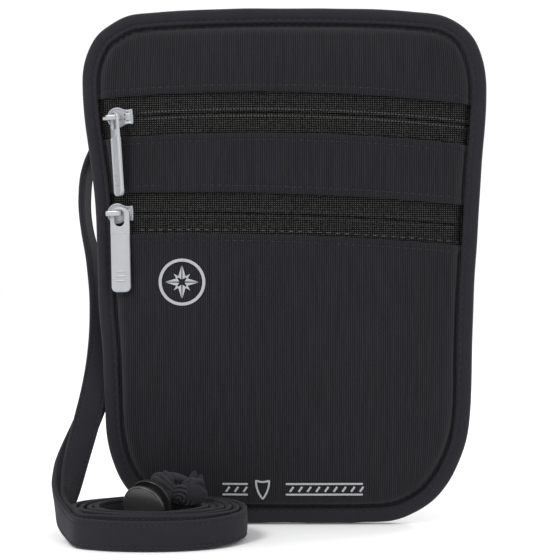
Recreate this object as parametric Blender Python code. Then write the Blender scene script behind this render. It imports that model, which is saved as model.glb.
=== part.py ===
"""Neck pouch wallet: a flat zipped fabric pouch with a bound edge, two coil zips, a neck strap wound
into an oval coil, a knot and a two-disc cord lock.  Metres, +Z up, front of the pouch towards -Y."""
import math

import bmesh
import bpy
import numpy as np
from mathutils import Matrix, Vector

for old in list(bpy.data.objects):
    bpy.data.objects.remove(old, do_unlink=True)

MM = 0.001

# ---------------------------------------------------------------- driving dimensions, millimetres
HEIGHT = 190.0            # pouch, bottom of the binding to the top
TOTAL_DEPTH = 14.5        # back of the binding to the top of the bulge
HALF = TOTAL_DEPTH / 2.0
BIND_THICK = 6.0          # binding, front to back
BIND_W = 5.8              # how far the binding laps over the panels
BIND_WALL = 0.8
EDGE_D = 4.9              # depth of the front panels' face inside the binding
PUFF = 3.6                # quick rise of the front just inside the binding
BULGE = 6.0               # slow crown of the front across the pouch
PANEL_T = 0.8
FOLD_HALF = 7.5           # zip centre line to each folded panel edge
SEAM_IN = BIND_W + 1.0    # where the front starts to rise, in from the outline

UPPER_ZIP = dict(a=150.9, b=-0.0150, k=0.00066)    # centre line z = a + b x - k x^2
LOWER_ZIP = dict(a=114.0, b=-0.0320, k=0.00044)
CROWN_HALF = 64.5         # half width over which the crown runs to nothing
SLIDER_X = -60.0          # both sliders parked at the closed end
TAPE_T = 0.45
TAPE_BELOW = 1.25         # panel face down to the tape's face
COIL_T = 1.1

STRAP_W = 10.0
STRAP_T = 2.0
HANK_C = (-45.3, -29.45)  # middle of the wound strap
HANK_A, HANK_B = 35.2, 26.3
HANK_H = 12.0
HOLE_A, HOLE_B = 15.5, 12.0

LOCK_R = 8.0              # cord lock disc
LOCK_GAP = 5.5            # disc to disc, centre to centre
LOCK_AXIS = Vector((-0.40, -0.86, -0.32)).normalized()
LOCK_C = Vector((-48.9, -33.2, 11.6))


# ---------------------------------------------------------------- materials
def material(name, rgb, rough, metal=0.0):
    m = bpy.data.materials.new(name)
    m.use_nodes = True
    p = m.node_tree.nodes["Principled BSDF"]
    p.inputs["Base Color"].default_value = (*rgb, 1.0)
    p.inputs["Roughness"].default_value = rough
    p.inputs["Metallic"].default_value = metal
    return m


# ---------------------------------------------------------------- small helpers
def put(name, verts, faces, mat, origin=(0, 0, 0), parent=None, smooth=True):
    """verts in millimetres, world; origin is where the object's own origin sits, in millimetres."""
    o = Vector(origin)
    me = bpy.data.meshes.new(name)
    me.from_pydata([tuple((Vector(v) - o) * MM) for v in verts], [], faces)
    bm = bmesh.new()
    bm.from_mesh(me)
    bmesh.ops.recalc_face_normals(bm, faces=bm.faces)
    bm.to_mesh(me)
    bm.free()
    me.materials.append(mat)
    if smooth:
        me.shade_smooth()
        me.set_sharp_from_angle(angle=math.radians(35))
    ob = bpy.data.objects.new(name, me)
    bpy.context.scene.collection.objects.link(ob)
    if parent is not None:
        ob.parent = parent
        ob.location = (o * MM) - parent.location
    else:
        ob.location = o * MM
    return ob


def empty(name, at, parent=None):
    e = bpy.data.objects.new(name, None)
    bpy.context.scene.collection.objects.link(e)
    e.location = Vector(at) * MM if parent is None else Vector(at) * MM - parent.location
    if parent is not None:
        e.parent = parent
    return e


def rings_to_solid(rings, closed=False):
    """Loft between equal rings of points; open runs get flat caps, closed ones join up."""
    n, m = len(rings), len(rings[0])
    verts = [p for r in rings for p in r]
    faces = []
    for i in range(n if closed else n - 1):
        j = (i + 1) % n
        for k in range(m):
            l = (k + 1) % m
            faces.append((i * m + k, i * m + l, j * m + l, j * m + k))
    if not closed:
        faces.append(tuple(range(m)))
        faces.append(tuple((n - 1) * m + k for k in reversed(range(m))))
    return verts, faces


def grid_solid(front, back):
    """Closed sheet between two equal grids of points (rows of columns)."""
    r, c = len(front), len(front[0])
    verts = [p for row in front for p in row] + [p for row in back for p in row]
    f = lambda i, j: i * c + j
    b = lambda i, j: r * c + i * c + j
    faces = []
    for i in range(r - 1):
        for j in range(c - 1):
            faces.append((f(i, j), f(i, j + 1), f(i + 1, j + 1), f(i + 1, j)))
            faces.append((b(i, j), b(i + 1, j), b(i + 1, j + 1), b(i, j + 1)))
    edge = [(0, j) for j in range(c)] + [(i, c - 1) for i in range(1, r)]
    edge += [(r - 1, j) for j in range(c - 2, -1, -1)] + [(i, 0) for i in range(r - 2, 0, -1)]
    for k in range(len(edge)):
        p, q = edge[k], edge[(k + 1) % len(edge)]
        faces.append((f(*p), b(*p), b(*q), f(*q)))
    return verts, faces


def catmull(points, per):
    """Smooth open curve through the points, 'per' samples a span."""
    P = [np.array(p, float) for p in points]
    P = [2 * P[0] - P[1]] + P + [2 * P[-1] - P[-2]]
    out = []
    for i in range(1, len(P) - 2):
        t = [0.0]
        for k in range(3):
            t.append(t[-1] + max(np.linalg.norm(P[i + k] - P[i + k - 1]), 1e-9) ** 0.5)
        for s in range(per):
            u = t[1] + (t[2] - t[1]) * s / per
            A1 = (t[1] - u) / (t[1] - t[0]) * P[i - 1] + (u - t[0]) / (t[1] - t[0]) * P[i]
            A2 = (t[2] - u) / (t[2] - t[1]) * P[i] + (u - t[1]) / (t[2] - t[1]) * P[i + 1]
            A3 = (t[3] - u) / (t[3] - t[2]) * P[i + 1] + (u - t[2]) / (t[3] - t[2]) * P[i + 2]
            B1 = (t[2] - u) / (t[2] - t[0]) * A1 + (u - t[0]) / (t[2] - t[0]) * A2
            B2 = (t[3] - u) / (t[3] - t[1]) * A2 + (u - t[1]) / (t[3] - t[1]) * A3
            out.append((t[2] - u) / (t[2] - t[1]) * B1 + (u - t[1]) / (t[2] - t[1]) * B2)
    out.append(P[-2])
    return np.array(out)


def resample(curve, n):
    seg = np.linalg.norm(np.diff(curve, axis=0), axis=1)
    s = np.concatenate([[0], np.cumsum(seg)])
    t = np.linspace(0, s[-1], n)
    return np.stack([np.interp(t, s, curve[:, k]) for k in range(curve.shape[1])], 1)


# ---------------------------------------------------------------- outline of the pouch, (x, z)
RIGHT = [(26, 0), (40.5, 0.9), (48.5, 3.9), (55.3, 8.6), (61.1, 15.8), (64.9, 23.4), (67.4, 31), (68.9, 42),
         (69.3, 62), (70.0, 84), (71.2, 105), (72.5, 128), (73.9, 145), (74.5, 157), (74.3, 164), (73.0, 171),
         (70.1, 178.4), (65.8, 183.3), (58.5, 187.2), (47, 188.8), (35, 189.5), (18, 189.9), (0, HEIGHT)]
LEFT = [(0, HEIGHT), (-18, 189.8), (-34, 189.3), (-47, 188.6), (-57.5, 187.2), (-64.5, 183.6), (-69.0, 179.9),
        (-72.4, 173.8), (-74.2, 167), (-74.5, 160), (-73.9, 151), (-72.2, 138), (-70.1, 122), (-69.2, 102),
        (-68.6, 82), (-67.2, 64), (-66.6, 48), (-65.6, 32), (-63.4, 22.8), (-60.1, 15.4), (-54.4, 8.4),
        (-47.8, 3.8), (-40.0, 0.8), (-26, 0)]
OUTLINE_N = 108


def outline():
    c = np.vstack([catmull(RIGHT, 12)[:-1], catmull(LEFT, 12)])
    c[:, 1] = np.clip(c[:, 1], 0, HEIGHT)
    bottom = np.linspace(c[-1], c[0], 30)[1:-1]
    c = np.vstack([c, bottom, c[:1]])
    return resample(c, OUTLINE_N + 1)[:-1]


def inset(loop, e):
    """Move a counter-clockwise loop inwards by e."""
    nxt, prv = np.roll(loop, -1, 0), np.roll(loop, 1, 0)
    t = nxt - prv
    t /= np.linalg.norm(t, axis=1)[:, None]
    n = np.stack([-t[:, 1], t[:, 0]], 1)
    return loop + n * e


EDGE = outline()


def half_widths(loop):
    """Right and left reach of a loop as functions of height."""
    right = loop[loop[:, 0] > 0]
    left = loop[loop[:, 0] < 0]
    right = right[np.argsort(right[:, 1])]
    left = left[np.argsort(left[:, 1])]
    return (lambda z: float(np.interp(z, right[:, 1], right[:, 0])),
            lambda z: float(np.interp(z, left[:, 1], left[:, 0])))


OUT_R, OUT_L = half_widths(EDGE[(EDGE[:, 1] > 0.05) & (EDGE[:, 1] < HEIGHT - 0.05)])
IN_R, IN_L = half_widths(inset(EDGE, 2.0))
_low = EDGE[EDGE[:, 1] < 60]
_high = EDGE[EDGE[:, 1] > 150]
_low = _low[np.argsort(_low[:, 0])]
_high = _high[np.argsort(_high[:, 0])]


def z_low(x):
    return float(np.interp(x, _low[:, 0], _low[:, 1]))


def z_high(x):
    return float(np.interp(x, _high[:, 0], _high[:, 1]))


# ---------------------------------------------------------------- depth of the front face
def crown(x, z):
    """The slow crown: a parabola across, easing off to the top and bottom seams."""
    g = max(0.0, 1.0 - (x / CROWN_HALF) ** 2)
    lo = min(1.0, max(0.0, (z - z_low(x) - SEAM_IN) / 50.0))
    hi = min(1.0, max(0.0, (z_high(x) - SEAM_IN - z) / 30.0))
    return g * (1 - (1 - lo) ** 2.2) * (1 - (1 - hi) ** 2.4)


def ease(t):
    t = min(1.0, max(0.0, t))
    return 1 - (1 - t) ** 2


def edge_distance(x, z):
    """How far a point of the front lies inside the pouch's outline."""
    a, b = EDGE, np.roll(EDGE, -1, 0)
    ab = b - a
    t = np.clip((((x, z) - a) * ab).sum(1) / (ab ** 2).sum(1), 0, 1)
    return float(np.sqrt(((a + ab * t[:, None] - (x, z)) ** 2).sum(1)).min())


def front_d(x, z):
    """Depth of the front panels' face, measured from the back of the binding."""
    rise = ease((edge_distance(x, z) - SEAM_IN) / 3.2)
    return EDGE_D + PUFF * rise + BULGE * crown(x, z) * rise


def P3(x, z, d):
    return (x, HALF - d, z)


# ---------------------------------------------------------------- zip centre lines as true arcs
class ZipArc:
    """Circle through the zip's centre line on the crowned front; the slider turns about its axis."""

    def __init__(self, z):
        ky = BULGE / CROWN_HALF ** 2
        u = Vector((1.0, 0.0, z["b"])).normalized()
        v = Vector((0.0, ky, -z["k"]))
        v = (v - u * v.dot(u)).normalized()
        self.u, self.v = u, v
        self.kappa = 2 * math.hypot(ky, z["k"]) / (1 + z["b"] ** 2)
        self.radius = 1 / self.kappa
        face = EDGE_D + PUFF + BULGE - TAPE_BELOW
        self.apex = Vector(P3(0.0, z["a"], face))       # on the tape's front face
        self.centre = self.apex + v * self.radius
        self.axis = u.cross(v).normalized()
        self.n0 = Vector((0.0, -1.0, 0.0))
        self.w0 = u.cross(self.n0).normalized() * -1.0
        if self.w0.z < 0:
            self.w0 = -self.w0
        self.n0 = self.w0.cross(u).normalized()
        if self.n0.y > 0:
            self.n0 = -self.n0

    def angle(self, x):
        h = math.hypot(self.u.x, self.v.x)
        return math.asin((x - self.centre.x) / self.radius / h) + math.atan2(self.v.x, self.u.x)

    def rot(self, theta):
        return Matrix.Rotation(theta, 3, self.axis)

    def place(self, theta, u, n, w):
        """A point given along the zip, out of the face and up, carried to angle theta."""
        p = self.apex + self.u * u + self.n0 * n + self.w0 * w
        return self.centre + self.rot(theta) @ (p - self.centre)

    def dirs(self, theta):
        r = self.rot(theta)
        return r @ self.u, r @ self.n0, r @ self.w0

    def point(self, x, n, w):
        """A point beside the centre line at x: n out of the tape's face, w up."""
        return self.place(self.angle(x), 0.0, n, w)


UP = ZipArc(UPPER_ZIP)
LO = ZipArc(LOWER_ZIP)


def zip_z(z, x):
    return z["a"] + z["b"] * x - z["k"] * x * x


# ---------------------------------------------------------------- materials of the pouch
RIB = material("ribbed_fabric", (0.035, 0.034, 0.038), 0.85)
TWILL = material("binding_twill", (0.030, 0.029, 0.032), 0.8)
LINING = material("lining_fabric", (0.16, 0.16, 0.17), 0.6)
TAPE = material("zip_tape", (0.028, 0.028, 0.030), 0.8)
COIL = material("zip_coil", (0.03, 0.03, 0.032), 0.45)
GREY = material("grey_enamel", (0.56, 0.57, 0.58), 0.35)
WEB = material("strap_fabric", (0.030, 0.030, 0.034), 0.85)
SATIN = material("satin_plastic", (0.03, 0.03, 0.032), 0.3)
STEEL = material("spring_steel", (0.55, 0.55, 0.56), 0.3, 1.0)


# ---------------------------------------------------------------- flat layers at the back
def flat_layer(name, e, d0, d1, mat):
    loop = inset(EDGE, e)
    rings = [[P3(p[0], p[1], d) for p in loop] for d in (d0, d1)]
    v, f = rings_to_solid(rings)
    return put(name, v, f, mat, smooth=False)


flat_layer("back_panel", 2.0, 1.1, 2.0, RIB)
flat_layer("rear_lining", 2.4, 2.2, 2.36, LINING)

# ---------------------------------------------------------------- binding: a channel swept round the edge
profile = [(BIND_W, 0.0), (BIND_W, BIND_WALL), (1.3, BIND_WALL), (1.3, BIND_THICK - BIND_WALL),
           (BIND_W, BIND_THICK - BIND_WALL), (BIND_W, BIND_THICK), (1.0, BIND_THICK), (0.0, BIND_THICK - 1.0),
           (0.0, 1.0), (1.0, 0.0)]
loops = [inset(EDGE, e) for e, d in profile]
rings = [[P3(loops[k][i][0], loops[k][i][1], profile[k][1]) for k in range(len(profile))]
         for i in range(OUTLINE_N)]
v, f = rings_to_solid(rings, closed=True)
put("edge_binding", v, f, TWILL)


# ---------------------------------------------------------------- front panels
_half = [.2, .4, .58, .72, .81, .86, .885, .905, .925, .945, .97, 1]
COLS = [-c for c in reversed(_half)] + [0] + _half


def column_x(u, z):
    return u * IN_R(z) if u >= 0 else -u * IN_L(z)


def sheet(name, rows, depth, thick, mat, cols=COLS, shrink=0.0):
    """rows: functions of x giving each row's height; depth: front face depth at (x, z)."""
    front, back = [], []
    for zf in rows:
        fr, bk = [], []
        for u in cols:
            x = column_x(u, zf(0.0))
            for _ in range(4):
                x = column_x(u, zf(x))
                x -= math.copysign(min(shrink, abs(x)), x)
            z = zf(x)
            d = depth(x, z)
            fr.append(P3(x, z, d))
            bk.append(P3(x, z, d - thick))
        front.append(fr)
        back.append(bk)
    v, f = grid_solid(front, back)
    return put(name, v, f, mat)


def level(z):
    return lambda x: z


def zip_line(z, off):
    return lambda x: zip_z(z, x) + off


def between(fa, fb, t):
    return lambda x: fa(x) * (1 - t) + fb(x) * t


top_fold = zip_line(UPPER_ZIP, FOLD_HALF)
mid_high = zip_line(UPPER_ZIP, -FOLD_HALF)
mid_low = zip_line(LOWER_ZIP, FOLD_HALF)
low_fold = zip_line(LOWER_ZIP, -FOLD_HALF)

rows = [level(z) for z in (2.3, 4.6, 5.8, 6.8, 7.8, 8.8, 9.9, 11.2, 12.7, 14.5, 17, 20.5, 25, 31, 38, 46, 56, 68, 82)]
rows += [between(level(99), low_fold, 0.6), low_fold]
sheet("front_panel_bottom", rows, front_d, PANEL_T, RIB)
sheet("front_panel_middle", [between(mid_low, mid_high, t) for t in (0, .2, .4, .6, .8, 1)], front_d, PANEL_T, RIB)
rows = [top_fold, between(top_fold, level(168), .5), level(166), level(171), level(175), level(178), level(179.6),
        level(181), level(182.2), level(183.4), level(184.6), level(187.0)]
sheet("front_panel_top", rows, front_d, PANEL_T, RIB)


# ---------------------------------------------------------------- pocket divider, sewn up to the upper zip
def divider_d(x, z):
    base = 2.85 + 0.77 * BULGE * crown(x, z) + 0.55 * PUFF * ease((edge_distance(x, z) - SEAM_IN - 3.0) / 12.0)
    up = min(1.0, max(0.0, (z - 121.5) / 17.0))
    up = up * up * (3 - 2 * up)
    return base * (1 - up) + (front_d(x, z) - 2.0) * up


DCOLS = [-1, -.95, -.9, -.85, -.77, -.65, -.5, -.33, -.16, 0, .16, .33, .5, .65, .77, .85, .9, .95, 1]
rows = [level(z) for z in (2.6, 7, 10, 14, 20, 29, 41, 56, 75, 97, 112, 121.5, 126, 131)]
rows += [between(level(136), zip_line(UPPER_ZIP, -11.5), .5), zip_line(UPPER_ZIP, -11.5)]
sheet("pocket_divider", rows, divider_d, 0.2, LINING, cols=DCOLS, shrink=0.3)


# ---------------------------------------------------------------- zip tapes and coils
def tape(name, arc, z, lo, hi, notch=None):
    """One tape half between offsets lo and hi from the centre line.  It follows the crown, dips into the
    binding at both ends, and its inner edge stands back from the slider's post."""
    def solid_rows(xs, offs):
        front, back = [], []
        for o in offs:
            fr, bk = [], []
            for x in xs:
                zz = zip_z(z, x) + o
                d = front_d(x, zz) - TAPE_BELOW
                fr.append(P3(x, zz, d))
                bk.append(P3(x, zz, d - TAPE_T))
            front.append(fr)
            back.append(bk)
        return front, back

    zc = z["a"]
    x0 = max(IN_L(zc + lo - 2), IN_L(zc + hi + 2)) + 0.4
    x1 = min(IN_R(zc + lo - 2), IN_R(zc + hi + 2)) - 0.4
    xs = np.concatenate([np.linspace(x0, x0 + 9, 13)[:-1], np.linspace(x0 + 9, x1 - 9, 20),
                         np.linspace(x1 - 9, x1, 13)[1:]])
    fr, bk = solid_rows(xs, (lo, (lo + hi) / 2, hi))
    v, f = grid_solid(fr, bk)
    ob = put(name, v, f, TAPE)
    if notch is not None:
        xa, xb, wa, wb = notch
        zz = zip_z(z, xb)
        c = [P3(x, zz + w, d) for d in (0.5, 14.0) for x, w in ((xa, wa), (xb, wa), (xb, wb), (xa, wb))]
        cf = [(0, 1, 2, 3), (4, 7, 6, 5), (0, 4, 5, 1), (1, 5, 6, 2), (2, 6, 7, 3), (3, 7, 4, 0)]
        cut = put(name + "_cut", c, cf, TAPE, smooth=False)
        cut.hide_render = True
        cut.display_type = "WIRE"
        m = ob.modifiers.new("park", "BOOLEAN")
        m.operation = "DIFFERENCE"
        m.object = cut
    return ob


SLOT = 0.8     # tape edge to centre line
NOTCH_X = -60.4
tape("upper_zip_tape_upper", UP, UPPER_ZIP, SLOT, FOLD_HALF + 3.0)
tape("upper_zip_tape_lower", UP, UPPER_ZIP, -FOLD_HALF - 3.0, -SLOT)
tape("lower_zip_tape_upper", LO, LOWER_ZIP, SLOT, FOLD_HALF + 3.0, (-80.0, NOTCH_X, -5.0, 4.15))
tape("lower_zip_tape_lower", LO, LOWER_ZIP, -FOLD_HALF - 3.0, -SLOT, (-80.0, NOTCH_X, -4.15, 5.0))


def coil_half(name, arc, x0, x1, side):
    """One half of the coil chain, sewn to the inner face of its tape, with a shallow tooth pattern."""
    n0 = -TAPE_T - 0.25
    rings = []
    for i, x in enumerate(np.linspace(x0, x1, 29)):
        wa, wb = (0.15, 2.1) if side > 0 else (-2.1, -0.15)
        bulge = 0.0 if i % 2 else 0.12
        rings.append([tuple(arc.point(x, n, w)) for n, w in
                      ((n0, wa), (n0, wb), (n0 - COIL_T + 0.15 + bulge, wb), (n0 - COIL_T + bulge, (wa + wb) / 2),
                       (n0 - COIL_T + 0.15 + bulge, wa))])
    v, f = rings_to_solid(rings)
    return put(name, v, f, COIL, smooth=False)


for nm, arc, right in (("upper", UP, 63.5), ("lower", LO, 61.0)):
    coil_half(nm + "_zip_coil_upper", arc, SLIDER_X + 0.8, right, 1)
    coil_half(nm + "_zip_coil_lower", arc, SLIDER_X + 0.8, right, -1)


# ---------------------------------------------------------------- sliders
def capsule_plate(points, n0, n1):
    return [[(u, n, w) for u, w in points] for n in (n0, n1)]


def shield(r, cx, tail_u, tail_w, neck_w, steps=14):
    """Outline of a slider plate: round nose, slight neck, square flared tail."""
    pts = []
    a0 = math.radians(62)
    for i in range(steps + 1):
        a = a0 + (2 * math.pi - 2 * a0) * i / steps
        pts.append((cx + r * math.cos(a), r * math.sin(a)))
    pts += [(2.4, -neck_w), (tail_u, -tail_w), (tail_u, tail_w), (2.4, neck_w)]
    return pts


def box_rings(u0, u1, n0, n1, w0, w1):
    return [[(u0, n, w) for n, w in ((n0, w0), (n1, w0), (n1, w1), (n0, w1))],
            [(u1, n, w) for n, w in ((n0, w0), (n1, w0), (n1, w1), (n0, w1))]]


PLATE_N0 = 0.28                       # top plate's underside above the tape
PLATE_N1 = PLATE_N0 + 1.0
BAIL_N = PLATE_N1 + 3.1               # bail bar's centre above the tape's face
BAIL_U0, BAIL_U1 = -4.7, 1.15
REAR_N1 = -TAPE_T - 0.25 - COIL_T - 0.25
REAR_N0 = REAR_N1 - 0.8


def join_pieces(name, pieces, mat, arc, theta, pivot_empty, origin):
    """Union the pieces (in slider axes) into one solid placed at the parked position."""
    base = None
    made = []
    for i, rings in enumerate(pieces):
        v, f = rings_to_solid(rings)
        v = [arc.place(theta, *p) for p in v]
        ob = put(name if i == 0 else "%s_piece_%d" % (name, i), v, f, mat, origin=origin, parent=pivot_empty,
                 smooth=False)
        made.append(ob)
    base = made[0]
    for ob in made[1:]:
        ob.hide_render = True
        ob.display_type = "WIRE"
        m = base.modifiers.new(ob.name, "BOOLEAN")
        m.operation = "UNION"
        m.object = ob
    return base


def slider(prefix, arc):
    theta = arc.angle(SLIDER_X)
    pivot = empty(prefix + "_slider_pivot", arc.centre)
    top = capsule_plate(shield(3.75, -1.05, 4.8, 2.75, 2.45), PLATE_N0, PLATE_N1)
    rear = capsule_plate([(u, w) for u, w in shield(3.1, -1.05 + 0.9, 4.8, 3.1, 3.1)], REAR_N0, REAR_N1)
    post = box_rings(-3.1, -1.6, REAR_N1 - 0.3, PLATE_N0 + 0.3, -0.45, 0.45)
    fl1 = box_rings(-1.6, 4.6, REAR_N1 - 0.3, -TAPE_T - 0.35, 2.5, 3.05)
    fl2 = box_rings(-1.6, 4.6, REAR_N1 - 0.3, -TAPE_T - 0.35, -3.05, -2.5)
    leg_l = [[(u, n, w) for u, w in ((BAIL_U0, -.8), (BAIL_U0 + 1.0, -.8), (BAIL_U0 + 1.0, .8), (BAIL_U0, .8))]
             for n in (PLATE_N1 - 0.3, BAIL_N)]
    leg_r = [[(u, n, w) for u, w in ((BAIL_U1 - 1.0, -.8), (BAIL_U1, -.8), (BAIL_U1, .8), (BAIL_U1 - 1.0, .8))]
             for n in (PLATE_N1 - 0.3, BAIL_N)]
    bar = [[(u, BAIL_N + 0.45 * math.sin(a) * k, 1.0 * math.cos(a) * k) for a in
            [math.pi / 5 * j for j in range(10)]] for u, k in
           ((BAIL_U0, 0.8), (BAIL_U0 + 0.35, 1.0), (BAIL_U1 - 0.35, 1.0), (BAIL_U1, 0.8))]
    at = arc.place(theta, 0, 0, 0)
    return join_pieces(prefix + "_slider_body", [top, rear, post, fl1, fl2, leg_l, leg_r, bar], GREY, arc, theta,
                       pivot, tuple(at)), pivot, theta


def tab_outline(length, half, top):
    """Pull tab seen flat: rounded head at the top, straight sides, soft square foot.  (p across, w up)"""
    pts = []
    r = half
    for i in range(9):
        a = math.pi * i / 8
        pts.append((r * math.cos(a), top - 2.2 + 2.2 * math.sin(a)))
    foot, c = top - length, 1.7
    for a0, cx in ((math.pi, -half + c), (1.5 * math.pi, half - c)):
        for i in range(4):
            a = a0 + math.pi / 2 * i / 3
            pts.append((cx + c * math.cos(a), foot + c + c * math.sin(a)))
    return pts


def hole_outline(half, top, low, n=12):
    pts = []
    for i in range(n + 1):
        a = math.pi * i / n
        pts.append((half * math.cos(a), top - half + half * math.sin(a)))
    for i in range(n + 1):
        a = math.pi + math.pi * i / n
        pts.append((half * math.cos(a), low + half + half * math.sin(a)))
    return pts


def pull_tab(name, arc, theta, pivot, length, half, hole, mapper, hinge):
    """A tab plate with its oval ring hole; the grip below the step is thicker."""
    e = empty(name + "_hinge", hinge, parent=pivot)
    top = 2.25

    def plate(pts, q0, q1):
        return [[mapper(p, q, w) for p, w in pts] for q in (q0, q1)]

    pieces = [plate(tab_outline(length, half, top), -0.45, 0.45)]
    grip = [(p, w) for p, w in tab_outline(length - 10.2, half - 0.35, top - 9.9)]
    grip_ring = plate([(p, min(w, top - 9.4)) for p, w in grip], -0.62, 0.62)
    pieces.append(grip_ring)
    obs = []
    for i, r in enumerate(pieces):
        v, f = rings_to_solid(r)
        v = [arc.place(theta, *p) for p in v]
        ob = put(name if i == 0 else name + "_grip", v, f, GREY, origin=hinge, parent=e, smooth=False)
        ob.location = (0, 0, 0)
        obs.append(ob)
    v, f = rings_to_solid(plate(hole, -2.0, 2.0))
    v = [arc.place(theta, *p) for p in v]
    cut = put(name + "_ring_cut", v, f, GREY, origin=hinge, parent=e, smooth=False)
    cut.location = (0, 0, 0)
    for ob in (obs[1], cut):
        ob.hide_render = True
        ob.display_type = "WIRE"
    m = obs[0].modifiers.new("grip", "BOOLEAN")
    m.operation = "UNION"
    m.object = obs[1]
    m = obs[0].modifiers.new("ring", "BOOLEAN")
    m.operation = "DIFFERENCE"
    m.object = cut
    return obs[0]


up_body, up_pivot, up_theta = slider("upper", UP)
lo_body, lo_pivot, lo_theta = slider("lower", LO)

# Upper tab: turned 52 degrees on its long axis, linked on the bail bar, swings out about the bar.
YAW = math.radians(52)
RING_U, RING_N = -1.1, 0.05


def upper_map(p, q, w):
    return (RING_U + p * math.cos(YAW) - q * math.sin(YAW),
            BAIL_N + RING_N + p * math.sin(YAW) + q * math.cos(YAW), w)


up_hinge = UP.place(up_theta, RING_U, BAIL_N, 0.0)
pull_tab("upper_pull_tab", UP, up_theta, up_pivot, 29.0 + 2.0, 3.45, hole_outline(1.85, 1.35, -4.7), upper_map,
         tuple(up_hinge))

# Lower tab: flat to the front, its ring round the bail's inner leg, swings sideways about that leg.
LEG_U = BAIL_U1 - 0.5
TAB_N = BAIL_N - 1.6


def lower_map(p, q, w):
    return (0.45 + p, TAB_N + q, w)


lo_hinge = LO.place(lo_theta, LEG_U, TAB_N, 0.0)
pull_tab("lower_pull_tab", LO, lo_theta, lo_pivot, 31.0, 3.6,
         [(p - 0.2, w) for p, w in hole_outline(1.85, 1.3, -4.8)], lower_map, tuple(lo_hinge))


# ---------------------------------------------------------------- end stops at the closed end
def end_stop(name, arc, u):
    theta = arc.angle(SLIDER_X)
    rings = [[(u + du, n, w) for n, w in ((0.3, -0.55 * k), (1.2, -0.55 * k), (1.2, 0.55 * k), (0.3, 0.55 * k))]
             for du, k in ((-1.3, 0.6), (-1.0, 1.0), (-0.3, 1.0), (0.0, 0.6))]
    v, f = rings_to_solid(rings)
    v = [arc.place(theta, *p) for p in v]
    return put(name, v, f, GREY, smooth=False)


end_stop("upper_zip_end_stop", UP, -5.1)

# ---------------------------------------------------------------- strap ends, sewn to the back
for side, nm in ((-1, "left"), (1, "right")):
    x, z0, z1 = side * 52.0, 165.0, 181.0
    c = [P3(x + sx * 5.0, z, d) for d in (0.75, -0.35) for sx, z in ((-1, z0), (1, z0), (1, z1), (-1, z1))]
    cf = [(0, 1, 2, 3), (4, 7, 6, 5), (0, 4, 5, 1), (1, 5, 6, 2), (2, 6, 7, 3), (3, 7, 4, 0)]
    put("strap_end_" + nm, c, cf, WEB, smooth=False)


# ---------------------------------------------------------------- strap runs, coil and knot
ROUTE_LEFT = [(-52.0, 8.5, 164.6), (-54.5, 8.9, 156), (-60.5, 9.7, 147), (-68.0, 10.3, 139.5), (-72.8, 10.3, 131),
              (-74.2, 10.0, 120), (-73.2, 10.0, 108), (-70.8, 10.3, 96), (-68.9, 10.6, 84), (-68.2, 10.4, 72),
              (-68.9, 9.4, 60), (-71.0, 6.8, 48.5), (-74.0, 1.5, 37), (-76.9, -6.0, 27), (-78.3, -13.5, 19.5),
              (-78.4, -19.5, 14.4)]
ROUTE_RIGHT = [(52.0, 8.5, 164.6), (51.6, 9.0, 152), (48.5, 10.2, 134), (40.5, 11.2, 115), (27.5, 11.8, 98),
               (11.0, 12.2, 84.5), (-8.0, 12.5, 75), (-28.0, 12.9, 69.5), (-46.0, 13.5, 66), (-59.0, 13.8, 61.5),
               (-66.0, 13.2, 54.5), (-69.6, 10.6, 46.5), (-72.3, 5.2, 36.5), (-74.4, -2.5, 26.5),
               (-75.3, -10.0, 19.0), (-75.2, -15.5, 14.4)]


def strap_run(name, route):
    pts = resample(catmull(route, 14), 32)
    cu = bpy.data.curves.new(name, "CURVE")
    cu.dimensions = "3D"
    sp = cu.splines.new("POLY")
    sp.points.add(len(pts) - 1)
    for i, p in enumerate(pts):
        sp.points[i].co = (p[0] * MM, p[1] * MM, p[2] * MM, 1.0)
    cu.bevel_depth = STRAP_T / 2 * MM
    cu.bevel_resolution = 2
    cu.use_fill_caps = True
    cu.materials.append(WEB)
    ob = bpy.data.objects.new(name, cu)
    bpy.context.scene.collection.objects.link(ob)
    return ob


strap_run("neck_strap_left_run", ROUTE_LEFT)
strap_run("neck_strap_right_run", ROUTE_RIGHT)

OVAL_N = 40


def oval(a, b, power, n=OVAL_N):
    pts = []
    for i in range(n):
        t = 2 * math.pi * i / n
        c, s = math.cos(t), math.sin(t)
        pts.append((HANK_C[0] + a * math.copysign(abs(c) ** (2 / power), c),
                    HANK_C[1] + b * math.copysign(abs(s) ** (2 / power), s)))
    return pts


outer, inner = oval(HANK_A, HANK_B, 2.15), oval(HOLE_A, HOLE_B, 2.0)
outer_s, inner_s = oval(HANK_A - 0.6, HANK_B - 0.6, 2.15), oval(HOLE_A + 0.6, HOLE_B + 0.6, 2.0)
hank = [[(*outer[i], 0.6), (*outer[i], HANK_H - 0.6), (*outer_s[i], HANK_H), (*inner_s[i], HANK_H),
         (*inner[i], HANK_H - 0.6), (*inner[i], 0.6), (*inner_s[i], 0.0), (*outer_s[i], 0.0)] for i in range(OVAL_N)]
v, f = rings_to_solid(hank, closed=True)
put("neck_strap_coil", v, f, WEB)

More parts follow.
